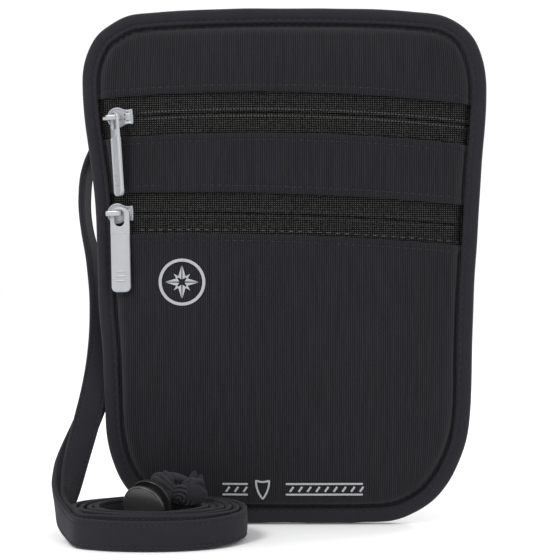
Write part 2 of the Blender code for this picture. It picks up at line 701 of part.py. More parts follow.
# the knot: a lumpy ball of strap resting on the coil's inner turns
KNOT_C, KNOT_R = Vector((-36.6, -23.6, 15.6)), (9.4, 5.2, 7.8)
bm = bmesh.new()
bmesh.ops.create_icosphere(bm, subdivisions=3, radius=1.0)
kv = []
for q in bm.verts:
    a = math.atan2(q.co.z, q.co.x)
    k = 1.0 + 0.05 * math.sin(3 * a + 0.6) + 0.03 * math.cos(5 * q.co.y + 2 * a)
    kv.append((KNOT_C.x + KNOT_R[0] * q.co.x * k, KNOT_C.y + KNOT_R[1] * q.co.y * k,
               max(KNOT_C.z + KNOT_R[2] * q.co.z * k, HANK_H + 0.35)))
kf = [tuple(x.index for x in q.verts) for q in bm.faces]
bm.free()
put("neck_strap_knot", kv, kf, WEB)

# ---------------------------------------------------------------- cord lock: two discs on a sprung barrel
LOCK_U = Vector((0, 0, 1)).cross(LOCK_AXIS).normalized()
LOCK_V = LOCK_AXIS.cross(LOCK_U).normalized()


def turned_solid(profile_pts, n=28):
    """Open profile running axis to axis, turned and closed at both ends on the axis."""
    verts, faces = [], []
    a_pt = tuple(LOCK_C + LOCK_AXIS * profile_pts[0][1])
    b_pt = tuple(LOCK_C + LOCK_AXIS * profile_pts[-1][1])
    mid = profile_pts[1:-1]
    m = len(mid)
    for i in range(n):
        a = 2 * math.pi * i / n
        dirv = LOCK_U * math.cos(a) + LOCK_V * math.sin(a)
        verts += [tuple(LOCK_C + LOCK_AXIS * s + dirv * r) for r, s in mid]
    verts += [a_pt, b_pt]
    for i in range(n):
        j = (i + 1) % n
        for k in range(m - 1):
            faces.append((i * m + k, j * m + k, j * m + k + 1, i * m + k + 1))
        faces.append((n * m, j * m, i * m))
        faces.append((n * m + 1, i * m + m - 1, j * m + m - 1))
    return verts, faces


R = LOCK_R
# button: domed front disc with a plunger reaching back into the barrel
v, f = turned_solid([(0, 1.9), (3.0, 1.8), (5.8, 1.35), (R - 0.5, 0.7), (R, 0.1), (R, -0.55), (R - 0.4, -0.8),
                     (3.7, -0.8), (3.7, -2.2), (0, -2.2)])
lock_button = put("cord_lock_button", v, f, SATIN, origin=tuple(LOCK_C))
# body: rear disc with an open barrel facing the button
L = LOCK_GAP
v, f = turned_solid([(0, -L - 1.1), (5.8, -L - 1.0), (R - 0.5, -L - 0.6), (R, -L - 0.1), (R, -L + 0.5), (R - 0.4, -L + 0.75),
                     (5.2, -L + 0.75), (5.2, -2.9), (4.1, -2.9), (4.1, -L + 0.2), (0, -L + 0.2)])
put("cord_lock_body", v, f, SATIN, origin=tuple(LOCK_C))
# spring: a short coil between the plunger and the barrel's floor
s0, s1, turns, wr, cr = -L + 0.75, -2.75, 2.2, 0.22, 2.6
rings = []
for i in range(31):
    t = i / 30
    a = 2 * math.pi * turns * t
    c = LOCK_C + LOCK_AXIS * (s0 + (s1 - s0) * t) + (LOCK_U * math.cos(a) + LOCK_V * math.sin(a)) * cr
    rad = LOCK_U * math.cos(a) + LOCK_V * math.sin(a)
    rings.append([tuple(c + (rad * math.cos(b) + LOCK_AXIS * math.sin(b)) * wr) for b in
                  [2 * math.pi / 5 * j for j in range(5)]])
v, f = rings_to_solid(rings)
put("cord_lock_spring", v, f, STEEL)

bpy.context.view_layer.update()
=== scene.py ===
"""Neck pouch wallet: bound fabric pouch with two coil zips, wound neck strap, knot and cord lock."""

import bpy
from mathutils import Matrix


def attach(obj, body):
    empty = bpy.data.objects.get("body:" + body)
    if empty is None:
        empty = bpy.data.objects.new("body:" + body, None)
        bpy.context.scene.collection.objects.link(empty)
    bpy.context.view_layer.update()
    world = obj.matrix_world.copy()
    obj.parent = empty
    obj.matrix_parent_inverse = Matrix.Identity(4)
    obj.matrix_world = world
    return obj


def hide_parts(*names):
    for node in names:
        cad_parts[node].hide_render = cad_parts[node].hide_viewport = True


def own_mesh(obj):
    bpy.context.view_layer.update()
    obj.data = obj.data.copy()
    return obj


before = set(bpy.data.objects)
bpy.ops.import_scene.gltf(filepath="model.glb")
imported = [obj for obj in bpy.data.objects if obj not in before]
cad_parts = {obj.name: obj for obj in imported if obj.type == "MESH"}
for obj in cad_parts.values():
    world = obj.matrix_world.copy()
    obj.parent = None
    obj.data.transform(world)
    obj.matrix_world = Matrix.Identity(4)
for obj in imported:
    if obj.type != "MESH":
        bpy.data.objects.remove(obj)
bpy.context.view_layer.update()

import math

import bmesh
import bpy
import numpy as np
from mathutils import Matrix, Vector
from mathutils.kdtree import KDTree

MM = 0.001
scene = bpy.context.scene
rng = np.random.default_rng(7)

# ------------------------------------------------------------------ camera
cam_data = bpy.data.cameras.new("camera")
cam = bpy.data.objects.new("camera", cam_data)
scene.collection.objects.link(cam)
cam_data.sensor_width = 36.0
cam_data.lens = 1623.0 / 560.0 * 36.0
cam_data.clip_start, cam_data.clip_end = 0.02, 30.0
cam.location = (-0.00163, -0.59575, 0.10024)
cam.rotation_euler = (math.radians(90 - 0.988), 0, 0)
scene.camera = cam

# ------------------------------------------------------------------ driving sizes, millimetres
HEIGHT = 190.0
HALF = 7.25
BIND_W = 5.8
EDGE_D, PUFF, BULGE = 4.9, 3.6, 6.0
PANEL_T = 0.8
FOLD_HALF = 7.5
SEAM_IN = BIND_W + 1.0
UPPER_ZIP = dict(a=150.9, b=-0.0150, k=0.00066)
LOWER_ZIP = dict(a=114.0, b=-0.0320, k=0.00044)
CROWN_HALF = 64.5
SLIDER_X = -60.0
TAPE_T, TAPE_BELOW, COIL_T = 0.45, 1.25, 1.1
STRAP_W, STRAP_T = 10.0, 2.0
HANK_C = (-45.3, -29.45)
LOCK_R, LOCK_GAP = 8.0, 5.5
LOCK_AXIS = Vector((-0.40, -0.86, -0.32)).normalized()
LOCK_C = Vector((-48.9, -33.2, 11.6))
RIB = 0.8


# ------------------------------------------------------------------ curves
def catmull(points, per):
    P = [np.array(p, float) for p in points]
    P = [2 * P[0] - P[1]] + P + [2 * P[-1] - P[-2]]
    out = []
    for i in range(1, len(P) - 2):
        t = [0.0]
        for k in range(3):
            t.append(t[-1] + max(np.linalg.norm(P[i + k][:3] - P[i + k - 1][:3]), 1e-9) ** 0.5)
        for s in range(per):
            u = t[1] + (t[2] - t[1]) * s / per
            A1 = (t[1] - u) / (t[1] - t[0]) * P[i - 1] + (u - t[0]) / (t[1] - t[0]) * P[i]
            A2 = (t[2] - u) / (t[2] - t[1]) * P[i] + (u - t[1]) / (t[2] - t[1]) * P[i + 1]
            A3 = (t[3] - u) / (t[3] - t[2]) * P[i + 1] + (u - t[2]) / (t[3] - t[2]) * P[i + 2]
            B1 = (t[2] - u) / (t[2] - t[0]) * A1 + (u - t[0]) / (t[2] - t[0]) * A2
            B2 = (t[3] - u) / (t[3] - t[1]) * A2 + (u - t[1]) / (t[3] - t[1]) * A3
            out.append((t[2] - u) / (t[2] - t[1]) * B1 + (u - t[1]) / (t[2] - t[1]) * B2)
    out.append(P[-2])
    return np.array(out)


def resample(curve, n, dims=3):
    seg = np.linalg.norm(np.diff(curve[:, :dims], axis=0), axis=1)
    s = np.concatenate([[0], np.cumsum(seg)])
    t = np.linspace(0, s[-1], n)
    return np.stack([np.interp(t, s, curve[:, k]) for k in range(curve.shape[1])], 1)


def length_of(curve):
    return float(np.linalg.norm(np.diff(curve[:, :3], axis=0), axis=1).sum())


# ------------------------------------------------------------------ materials
def new_mat(name):
    m = bpy.data.materials.new(name)
    m.use_nodes = True
    nt = m.node_tree
    return m, nt, nt.nodes["Principled BSDF"]


def node(nt, kind, **inputs):
    n = nt.nodes.new(kind)
    for k, v in inputs.items():
        if k in n.inputs:
            n.inputs[k].default_value = v
    return n


def coords(nt, uv=None, scale=(1000, 1000, 1000), rot=(0, 0, 0)):
    mp = nt.nodes.new("ShaderNodeMapping")
    mp.inputs["Scale"].default_value = scale
    mp.inputs["Rotation"].default_value = rot
    if uv:
        src = nt.nodes.new("ShaderNodeUVMap")
        src.uv_map = uv
        nt.links.new(src.outputs["UV"], mp.inputs["Vector"])
    else:
        src = nt.nodes.new("ShaderNodeTexCoord")
        nt.links.new(src.outputs["Object"], mp.inputs["Vector"])
    return mp.outputs["Vector"]


def mix_color(nt, fac, a, b):
    m = nt.nodes.new("ShaderNodeMix")
    m.data_type = "RGBA"
    nt.links.new(fac, m.inputs["Factor"])
    m.inputs["A"].default_value = (*a, 1)
    m.inputs["B"].default_value = (*b, 1)
    return m.outputs["Result"]


def fabric(name, dark, light, weave=0.45, rough=0.9, sheen=0.06, streak=(0.4, 0.4, 0.06), bump=0.00006, uv=None,
           twill=False, fine=3.0, rib=None, weave_shade=0.45, flat=0.3):
    """Woven cloth: uneven colour in streaks, a twill or plain weave in the bump with painted shade in its valleys (and
    painted shade between the ribs when a rib period is given), soft sheen.
    """
    m, nt, p = new_mat(name)
    k = 1000.0
    vec = coords(nt, uv, (1, 1, 1) if uv else (k, k, k))
    mp = nt.nodes.new("ShaderNodeMapping")
    mp.inputs["Scale"].default_value = streak
    nt.links.new(vec, mp.inputs["Vector"])
    n1 = node(nt, "ShaderNodeTexNoise", Scale=1.0, Detail=3.0, Roughness=0.6)
    nt.links.new(mp.outputs["Vector"], n1.inputs["Vector"])
    ramp = nt.nodes.new("ShaderNodeValToRGB")
    ramp.color_ramp.elements[0].position, ramp.color_ramp.elements[1].position = 0.32, 0.72
    nt.links.new(n1.outputs["Fac"], ramp.inputs["Fac"])
    # weave
    w = node(nt, "ShaderNodeTexWave", Scale=(0.628 if twill else 0.314) / weave, Distortion=0.5, Detail=1.0)
    w.wave_type = "BANDS"
    w.bands_direction = "DIAGONAL" if twill else "Z"
    nt.links.new(vec, w.inputs["Vector"])
    n2 = node(nt, "ShaderNodeTexNoise", Scale=fine, Detail=2.0, Roughness=0.6)
    nt.links.new(vec, n2.inputs["Vector"])
    add = nt.nodes.new("ShaderNodeMath")
    add.operation = "MULTIPLY_ADD"
    nt.links.new(n2.outputs["Fac"], add.inputs[0])
    add.inputs[1].default_value = 0.9
    nt.links.new(w.outputs["Fac"], add.inputs[2])
    b = node(nt, "ShaderNodeBump", Strength=1.0, Distance=bump)
    nt.links.new(add.outputs[0], b.inputs["Height"])
    nt.links.new(b.outputs["Normal"], p.inputs["Normal"])
    # colour: streaks plus painted shade, darker in the weave's valleys where the bump is low
    mul = nt.nodes.new("ShaderNodeMath")
    mul.operation = "MULTIPLY_ADD"
    nt.links.new(add.outputs[0], mul.inputs[0])
    mul.inputs[1].default_value = weave_shade
    half = nt.nodes.new("ShaderNodeMath")
    half.operation = "MULTIPLY"
    nt.links.new(ramp.outputs["Color"], half.inputs[0])
    half.inputs[1].default_value = flat
    nt.links.new(half.outputs[0], mul.inputs[2])
    mul.use_clamp = True
    fac = mul.outputs[0]
    if rib:     # painted shade: the valleys between the ribs are painted darker than their tops
        rib_shade_wave = node(nt, "ShaderNodeTexWave", Scale=0.314159 / rib, Distortion=0.0)
        rib_shade_wave.wave_type, rib_shade_wave.bands_direction = "BANDS", "X"
        nt.links.new(vec, rib_shade_wave.inputs["Vector"])
        lo = nt.nodes.new("ShaderNodeMath")
        lo.operation = "MULTIPLY_ADD"
        nt.links.new(rib_shade_wave.outputs["Fac"], lo.inputs[0])
        lo.inputs[1].default_value, lo.inputs[2].default_value = 0.97, 0.03
        both = nt.nodes.new("ShaderNodeMath")
        both.operation = "MULTIPLY"
        nt.links.new(fac, both.inputs[0])
        nt.links.new(lo.outputs[0], both.inputs[1])
        fac = both.outputs[0]
    nt.links.new(mix_color(nt, fac, dark, light), p.inputs["Base Color"])
    p.inputs["Roughness"].default_value = rough
    p.inputs["Sheen Weight"].default_value = sheen
    p.inputs["Sheen Roughness"].default_value = 0.5
    p.inputs["Specular IOR Level"].default_value = 0.25
    return m


RIBBED = fabric("ribbed_cloth", (0.0006, 0.0005, 0.0010), (0.0290, 0.0270, 0.0370), streak=(0.9, 0.05, 0.05), weave=0.75,
                uv="cloth", rib=RIB, fine=1.6)
TWILL = fabric("twill_cloth", (0.0003, 0.0003, 0.0008), (0.0145, 0.0132, 0.0182), streak=(0.15, 0.15, 0.15), weave=0.95,
               twill=True, uv="cloth", bump=0.00008, weave_shade=0.6, flat=0.1)
STRAP_M = fabric("strap_cloth", (0.0003, 0.0003, 0.0009), (0.0150, 0.0137, 0.0198), streak=(0.12, 0.5, 0.3), weave=0.95,
                 twill=True, uv="cloth", bump=0.00008, weave_shade=0.6, flat=0.1)
# painted light: the knot is tied in the strap cloth but gets a lighter copy of it
KNOT_LIT_M = fabric("knot_cloth_painted_light", (0.0012, 0.0011, 0.0020), (0.0230, 0.0215, 0.0275), streak=(0.5, 0.5, 0.5), weave=1.15,
                twill=True, bump=0.00012)


def tape_weave(name):
    """Flat tape on a black ground, with painted highlight on the staggered knots: they are lighter where the bump
    raises them.
    """
    m, nt, p = new_mat(name)
    vec = coords(nt)
    waves = []
    for axis, period in (("X", 0.82), ("Z", 0.78), ("DIAGONAL", 2.1)):
        w = node(nt, "ShaderNodeTexWave", Scale=(0.628 if axis == "DIAGONAL" else 0.314) / period, Distortion=1.6, Detail=1.0)
        w.wave_type, w.bands_direction = "BANDS", axis
        nt.links.new(vec, w.inputs["Vector"])
        waves.append(w.outputs["Fac"])
    n1 = node(nt, "ShaderNodeTexNoise", Scale=1.1, Detail=2.0, Roughness=0.6)
    nt.links.new(vec, n1.inputs["Vector"])
    a = nt.nodes.new("ShaderNodeMath")
    a.operation = "MULTIPLY"
    nt.links.new(waves[0], a.inputs[0])
    nt.links.new(waves[1], a.inputs[1])
    b = nt.nodes.new("ShaderNodeMath")
    b.operation = "MULTIPLY"
    nt.links.new(a.outputs[0], b.inputs[0])
    nt.links.new(n1.outputs["Fac"], b.inputs[1])
    # painted highlight: the wave product that raises the knots also lightens their colour, varied by noise
    ramp = nt.nodes.new("ShaderNodeValToRGB")
    ramp.color_ramp.elements[0].position, ramp.color_ramp.elements[1].position = 0.12, 0.46
    nt.links.new(b.outputs[0], ramp.inputs["Fac"])
    nt.links.new(mix_color(nt, ramp.outputs["Color"], (0.0014, 0.0014, 0.0015), (0.060, 0.0595, 0.0575)), p.inputs["Base Color"])
    bp = node(nt, "ShaderNodeBump", Strength=1.0, Distance=0.00015)
    nt.links.new(a.outputs[0], bp.inputs["Height"])
    nt.links.new(bp.outputs["Normal"], p.inputs["Normal"])
    p.inputs["Roughness"].default_value = 0.7
    p.inputs["Specular IOR Level"].default_value = 0.06
    return m


TAPE_M = tape_weave("tape_cloth")
LINING_M = fabric("lining_cloth", (0.03, 0.03, 0.033), (0.06, 0.06, 0.065), streak=(0.3, 0.3, 0.3), weave=0.3)
THREAD_M = fabric("thread", (0.004, 0.004, 0.005), (0.022, 0.0215, 0.026), streak=(2.0, 2.0, 2.0), weave=0.3, rough=0.6)
DASH_M = fabric("light_thread", (0.02, 0.02, 0.021), (0.085, 0.085, 0.085), streak=(2.0, 2.0, 2.0), weave=0.3, rough=0.6)


def enamel(name):
    m, nt, p = new_mat(name)
    vec = coords(nt)
    n1 = node(nt, "ShaderNodeTexNoise", Scale=0.35, Detail=3.0, Roughness=0.6)
    nt.links.new(vec, n1.inputs["Vector"])
    nt.links.new(mix_color(nt, n1.outputs["Fac"], (0.285, 0.295, 0.312), (0.34, 0.348, 0.365)), p.inputs["Base Color"])
    n2 = node(nt, "ShaderNodeTexNoise", Scale=2.2, Detail=4.0, Roughness=0.7)
    nt.links.new(vec, n2.inputs["Vector"])
    b = node(nt, "ShaderNodeBump", Strength=0.35, Distance=0.00003)
    nt.links.new(n2.outputs["Fac"], b.inputs["Height"])
    nt.links.new(b.outputs["Normal"], p.inputs["Normal"])
    mr = node(nt, "ShaderNodeMapRange")
    mr.inputs["To Min"].default_value, mr.inputs["To Max"].default_value = 0.3, 0.48
    nt.links.new(n1.outputs["Fac"], mr.inputs["Value"])
    nt.links.new(mr.outputs["Result"], p.inputs["Roughness"])
    p.inputs["Metallic"].default_value = 0.25
    p.inputs["Coat Weight"].default_value = 0.3
    p.inputs["Coat Roughness"].default_value = 0.2
    return m


ENAMEL = enamel("grey_enamel_paint")


def satin(name, uv=None, low=(0.008, 0.008, 0.009), high=(0.022, 0.021, 0.021), metal=0.0):
    m, nt, p = new_mat(name)
    vec = coords(nt, uv, (60, 60, 60) if uv else (1500, 1500, 1500))
    n1 = node(nt, "ShaderNodeTexNoise", Scale=1.0, Detail=4.0, Roughness=0.7)
    nt.links.new(vec, n1.inputs["Vector"])
    mr = node(nt, "ShaderNodeMapRange")
    mr.inputs["To Min"].default_value, mr.inputs["To Max"].default_value = 0.26, 0.48
    nt.links.new(n1.outputs["Fac"], mr.inputs["Value"])
    nt.links.new(mr.outputs["Result"], p.inputs["Roughness"])
    b = node(nt, "ShaderNodeBump", Strength=0.6, Distance=0.00006)
    nt.links.new(n1.outputs["Fac"], b.inputs["Height"])
    nt.links.new(b.outputs["Normal"], p.inputs["Normal"])
    nt.links.new(mix_color(nt, n1.outputs["Fac"], low, high), p.inputs["Base Color"])
    p.inputs["Metallic"].default_value = metal
    p.inputs["Specular IOR Level"].default_value = 0.6
    return m


SATIN_M = satin("satin_moulding", low=(0.012, 0.012, 0.012), high=(0.04, 0.039, 0.038), metal=0.4)
# front disc: streaked tone, partly real streaks and partly painted highlight; its light end is raised far above the
# rear cup's to stand in for the sheen on the face
BRUSHED_SHEEN_M = satin("brushed_moulding_and_painted_sheen", uv="disc", low=(0.014, 0.0135, 0.0135), high=(0.105, 0.101, 0.1), metal=0.6)


def steel(name):
    m, nt, p = new_mat(name)
    vec = coords(nt)
    n1 = node(nt, "ShaderNodeTexNoise", Scale=3.0, Detail=3.0)
    nt.links.new(vec, n1.inputs["Vector"])
    nt.links.new(mix_color(nt, n1.outputs["Fac"], (0.4, 0.4, 0.41), (0.62, 0.62, 0.63)), p.inputs["Base Color"])
    p.inputs["Metallic"].default_value = 1.0
    p.inputs["Roughness"].default_value = 0.3
    return m


STEEL_M = steel("spring_wire")


def coil_plastic(name):
    m, nt, p = new_mat(name)
    vec = coords(nt)
    n1 = node(nt, "ShaderNodeTexNoise", Scale=2.0, Detail=3.0)
    nt.links.new(vec, n1.inputs["Vector"])
    nt.links.new(mix_color(nt, n1.outputs["Fac"], (0.008, 0.008, 0.009), (0.025, 0.025, 0.026)),
                 p.inputs["Base Color"])
    p.inputs["Roughness"].default_value = 0.4
    return m


COIL_M = coil_plastic("coil_plastic")


def print_ink(name):
    m, nt, p = new_mat(name)
    vec = coords(nt)
    n1 = node(nt, "ShaderNodeTexNoise", Scale=1.6, Detail=4.0, Roughness=0.7)
    nt.links.new(vec, n1.inputs["Vector"])
    nt.links.new(mix_color(nt, n1.outputs["Fac"], (0.21, 0.215, 0.225), (0.36, 0.365, 0.375)),
                 p.inputs["Base Color"])
    b = node(nt, "ShaderNodeBump", Strength=0.5, Distance=0.00004)
    nt.links.new(n1.outputs["Fac"], b.inputs["Height"])
    nt.links.new(b.outputs["Normal"], p.inputs["Normal"])
    p.inputs["Roughness"].default_value = 0.55
    return m


INK_M = print_ink("reflective_print")


# ------------------------------------------------------------------ mesh helpers (millimetres)
def piece(name, V, F, mat, body="pouch", smooth=True, angle=None, uv=None, uv_name="cloth", flip=False):
    V = np.asarray(V, float)
    me = bpy.data.meshes.new(name)
    F = [tuple(f) for f in (F.tolist() if isinstance(F, np.ndarray) else F)]
    if flip:
        F = [f[::-1] for f in F]
    me.from_pydata((V * MM).tolist(), [], F)
    if uv is not None:
        lay = me.uv_layers.new(name=uv_name)
        idx = np.zeros(len(me.loops), int)
        me.loops.foreach_get("vertex_index", idx)
        lay.data.foreach_set("uv", np.asarray(uv, float)[idx].astype(np.float32).ravel())
    me.materials.append(mat)
    if smooth:
        me.shade_smooth()
        if angle:
            me.set_sharp_from_angle(angle=math.radians(angle))
    ob = bpy.data.objects.new(name, me)
    scene.collection.objects.link(ob)
    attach(ob, body)
    return ob


def outward(V, F):
    """True if the closed mesh already faces outwards."""
    V = np.asarray(V, float)
    vol = 0.0
    F = np.asarray(F)
    a, b, c = V[F[:, 0]], V[F[:, 1]], V[F[:, 2]]
    vol += np.einsum("ij,ij->i", a, np.cross(b, c)).sum()
    if F.shape[1] == 4:
        d = V[F[:, 3]]
        vol += np.einsum("ij,ij->i", a, np.cross(c, d)).sum()
    return vol > 0


def masked_shell(front, back, mask):
    """Closed sheet between two equal point grids, keeping only the masked cells."""
    r, c = front.shape[:2]
    N = r * c
    i, j = np.nonzero(mask)
    q = np.stack([i * c + j, i * c + j + 1, (i + 1) * c + j + 1, (i + 1) * c + j], 1)
    E = np.concatenate([q[:, [0, 1]], q[:, [1, 2]], q[:, [2, 3]], q[:, [3, 0]]])
    key, rev = E[:, 0] * N + E[:, 1], E[:, 1] * N + E[:, 0]
    bd = E[~np.isin(key, rev)]
    side = np.stack([bd[:, 1], bd[:, 0], bd[:, 0] + N, bd[:, 1] + N], 1)
    F = np.vstack([q, q[:, ::-1] + N, side])
    V = np.concatenate([front.reshape(-1, 3), back.reshape(-1, 3)])
    used = np.unique(F)
    new = -np.ones(2 * N, int)
    new[used] = np.arange(len(used))
    F = new[F]
    V = V[used]
    if not outward(V, F):
        F = F[:, ::-1]
    return V, F, used


def tube_rings(rings, closed=False):
    """rings (n, m, 3) -> vertices and quads, with end caps as fans."""
    rings = np.asarray(rings, float)
    n, m = rings.shape[:2]
    V = rings.reshape(-1, 3)
    F = []
    i = np.arange(n if closed else n - 1)[:, None]
    k = np.arange(m)[None, :]
    j, l = (i + 1) % n, (k + 1) % m
    q = np.stack([i * m + k, i * m + l, j * m + l, j * m + k], -1).reshape(-1, 4)
    F = [tuple(x) for x in q.tolist()]
    if not closed:
        c0, c1 = rings[0].mean(0), rings[-1].mean(0)
        V = np.vstack([V, c0, c1])
        a, b = n * m, n * m + 1
        for t in range(m):
            F.append((a, (t + 1) % m, t))
            F.append((b, (n - 1) * m + t, (n - 1) * m + (t + 1) % m))
    tri = []
    for f in F:
        tri.append(f[:3])
        if len(f) == 4:
            tri.append((f[0], f[2], f[3]))
    if not outward(V, np.array(tri)):
        F = [f[::-1] for f in F]
    return V, F


def join_meshes(parts):
    V, F, o = [], [], 0
    for v, f in parts:
        V.append(np.asarray(v, float))
        F += [tuple(int(a) + o for a in t) for t in f]
        o += len(v)
    return np.vstack(V), F


def frames(path, up):
    """Tangent, width and face directions along a path; up holds the wished width directions."""
    T = np.gradient(path, axis=0)
    T /= np.linalg.norm(T, axis=1)[:, None]
    W = up - (up * T).sum(1)[:, None] * T
    W /= np.linalg.norm(W, axis=1)[:, None]
    return T, W, np.cross(T, W)


def capsules(centres, dirs, normals, half, r, squash=0.75, m=6):
    """Short raised thread stitches."""
    parts = []
    prof = [(-1.0, 0.35), (-0.8, 0.85), (0.0, 1.0), (0.8, 0.85), (1.0, 0.35)]
    for c, d, n in zip(centres, dirs, normals):
        b = np.cross(d, n)
        rings = []
        for t, k in prof:
            o = c + d * half * t - n * r * 0.5 * t * t
            rings.append([o + b * r * k * math.cos(a) + n * r * squash * k * math.sin(a)
                          for a in [2 * math.pi * q / m for q in range(m)]])
        parts.append(tube_rings(rings))
    return join_meshes(parts)


# ------------------------------------------------------------------ outline and depth of the pouch
RIGHT = [(26, 0), (40.5, 0.9), (48.5, 3.9), (55.3, 8.6), (61.1, 15.8), (64.9, 23.4), (67.4, 31), (68.9, 42),
         (69.3, 62), (70.0, 84), (71.2, 105), (72.5, 128), (73.9, 145), (74.5, 157), (74.3, 164), (73.0, 171),
         (70.1, 178.4), (65.8, 183.3), (58.5, 187.2), (47, 188.8), (35, 189.5), (18, 189.9), (0, HEIGHT)]
LEFT = [(0, HEIGHT), (-18, 189.8), (-34, 189.3), (-47, 188.6), (-57.5, 187.2), (-64.5, 183.6), (-69.0, 179.9),
        (-72.4, 173.8), (-74.2, 167), (-74.5, 160), (-73.9, 151), (-72.2, 138), (-70.1, 122), (-69.2, 102),
        (-68.6, 82), (-67.2, 64), (-66.6, 48), (-65.6, 32), (-63.4, 22.8), (-60.1, 15.4), (-54.4, 8.4),
        (-47.8, 3.8), (-40.0, 0.8), (-26, 0)]
_c = np.vstack([catmull([(*p, 0) for p in RIGHT], 12)[:-1], catmull([(*p, 0) for p in LEFT], 12)])[:, :2]
_c[:, 1] = np.clip(_c[:, 1], 0, HEIGHT)
_c = np.vstack([_c, np.linspace(_c[-1], _c[0], 30)[1:-1], _c[:1]])
EDGE_N = 800
EDGE = resample(_c, EDGE_N + 1, 2)[:-1]
EDGE_LEN = length_of(np.vstack([EDGE, EDGE[:1]]))
EDGE_S = np.arange(EDGE_N) * EDGE_LEN / EDGE_N
_dense = resample(np.vstack([EDGE, EDGE[:1]]), 4001, 2)[:-1]
_tan = np.roll(_dense, -3, 0) - np.roll(_dense, 3, 0)
_tree = KDTree(len(_dense))
for _i, _p in enumerate(_dense):
    _tree.insert((_p[0], _p[1], 0), _i)
_tree.balance()


def edge_field(X, Z):
    """Distance in from the outline, and the place along it, for arrays of points."""
    shape = X.shape
    d, s = np.empty(X.size), np.empty(X.size)
    for q, (x, z) in enumerate(zip(X.ravel(), Z.ravel())):
        _, k, dist = _tree.find((x, z, 0))
        t = _tan[k]
        inside = (z - _dense[k][1]) * t[0] - (x - _dense[k][0]) * t[1] > 0
        d[q], s[q] = dist if inside else -dist, k
    return d.reshape(shape), s.reshape(shape) * EDGE_LEN / len(_dense)


def inset_loop(loop, e):
    nxt, prv = np.roll(loop, -2, 0), np.roll(loop, 2, 0)
    t = nxt - prv
    t /= np.linalg.norm(t, axis=1)[:, None]
    n = np.stack([-t[:, 1], t[:, 0]], 1)
    e = np.asarray(e, float)
    return loop + n * (e[:, None] if e.ndim else e)


_lo = EDGE[EDGE[:, 1] < 60]
_hi = EDGE[EDGE[:, 1] > 150]
_lo, _hi = _lo[np.argsort(_lo[:, 0])], _hi[np.argsort(_hi[:, 0])]
_in2 = inset_loop(EDGE, 2.0)
_r, _l = _in2[_in2[:, 0] > 0], _in2[_in2[:, 0] < 0]
_r, _l = _r[np.argsort(_r[:, 1])], _l[np.argsort(_l[:, 1])]


def in_r(z):
    return np.interp(z, _r[:, 1], _r[:, 0])


def in_l(z):
    return np.interp(z, _l[:, 1], _l[:, 0])


def crown(X, Z):
    g = np.maximum(0.0, 1 - (X / CROWN_HALF) ** 2)
    lo = np.clip((Z - np.interp(X, _lo[:, 0], _lo[:, 1]) - SEAM_IN) / 50.0, 0, 1)
    hi = np.clip((np.interp(X, _hi[:, 0], _hi[:, 1]) - SEAM_IN - Z) / 30.0, 0, 1)
    return g * (1 - (1 - lo) ** 2.2) * (1 - (1 - hi) ** 2.4)


def ease(t):
    t = np.clip(t, 0, 1)
    return 1 - (1 - t) ** 2


def front_d(X, Z, dist=None):
    if dist is None:
        dist, _ = edge_field(X, Z)
    rise = ease((dist - SEAM_IN) / 3.2)
    return EDGE_D + PUFF * rise + BULGE * crown(X, Z) * rise


def zip_z(z, X):
    return z["a"] + z["b"] * X - z["k"] * X * X


class ZipArc:
    def __init__(self, z):
        ky = BULGE / CROWN_HALF ** 2
        u = Vector((1.0, 0.0, z["b"])).normalized()
        v = Vector((0.0, ky, -z["k"]))
        v = (v - u * v.dot(u)).normalized()
        self.u, self.v = u, v
        self.radius = (1 + z["b"] ** 2) / (2 * math.hypot(ky, z["k"]))
        self.apex = Vector((0.0, HALF - (EDGE_D + PUFF + BULGE - TAPE_BELOW), z["a"]))
        self.centre = self.apex + v * self.radius
        self.axis = u.cross(v).normalized()
        w0 = -u.cross(Vector((0.0, -1.0, 0.0))).normalized()
        self.w0 = -w0 if w0.z < 0 else w0
        n0 = self.w0.cross(u).normalized()
        self.n0 = -n0 if n0.y > 0 else n0

    def angle(self, x):
        h = math.hypot(self.u.x, self.v.x)
        return math.asin((x - self.centre.x) / self.radius / h) + math.atan2(self.v.x, self.u.x)

    def place(self, theta, u, n, w):
        p = self.apex + self.u * u + self.n0 * n + self.w0 * w
        return self.centre + Matrix.Rotation(theta, 3, self.axis) @ (p - self.centre)


UP, LO = ZipArc(UPPER_ZIP), ZipArc(LOWER_ZIP)


# ------------------------------------------------------------------ neck strap: two ribbons, wound together
def spiral(phi0, phi1, a0, b0, step_a, step_b, z, skip=0.0, wave=0.0, n_per=24):
    """Points of one strand, counter-clockwise seen from above, moving inwards each turn."""
    pts = []
    n = int(abs(phi1 - phi0) / 360.0 * n_per)
    for i in range(n + 1):
        ph = phi0 + (phi1 - phi0) * i / n
        turn = (ph - 180.0) / 360.0
        a, b = a0 - step_a * turn, b0 - step_b * turn
        c, s = math.cos(math.radians(ph)), math.sin(math.radians(ph))
        p = 2.15 if turn < 1 else 2.05
        x = HANK_C[0] + a * math.copysign(abs(c) ** (2 / p), c)
        y = HANK_C[1] + b * math.copysign(abs(s) ** (2 / p), s)
        zz = z(ph) + wave * math.sin(ph * 0.031 + a0)
        pts.append((x, y, zz, 0, 0, 1))
    return pts


def rise_outer(ph):
    # outermost front stretch lies flat on the surface, later turns ride a little higher
    t = min(1.0, max(0.0, (ph - 285.0) / 130.0))
    return 5.25 + 1.6 * t * t * (3 - 2 * t)


def rise_inner(ph):
    t = min(1.0, max(0.0, (ph - 230.0) / 150.0))
    return 6.25 + 0.6 * t


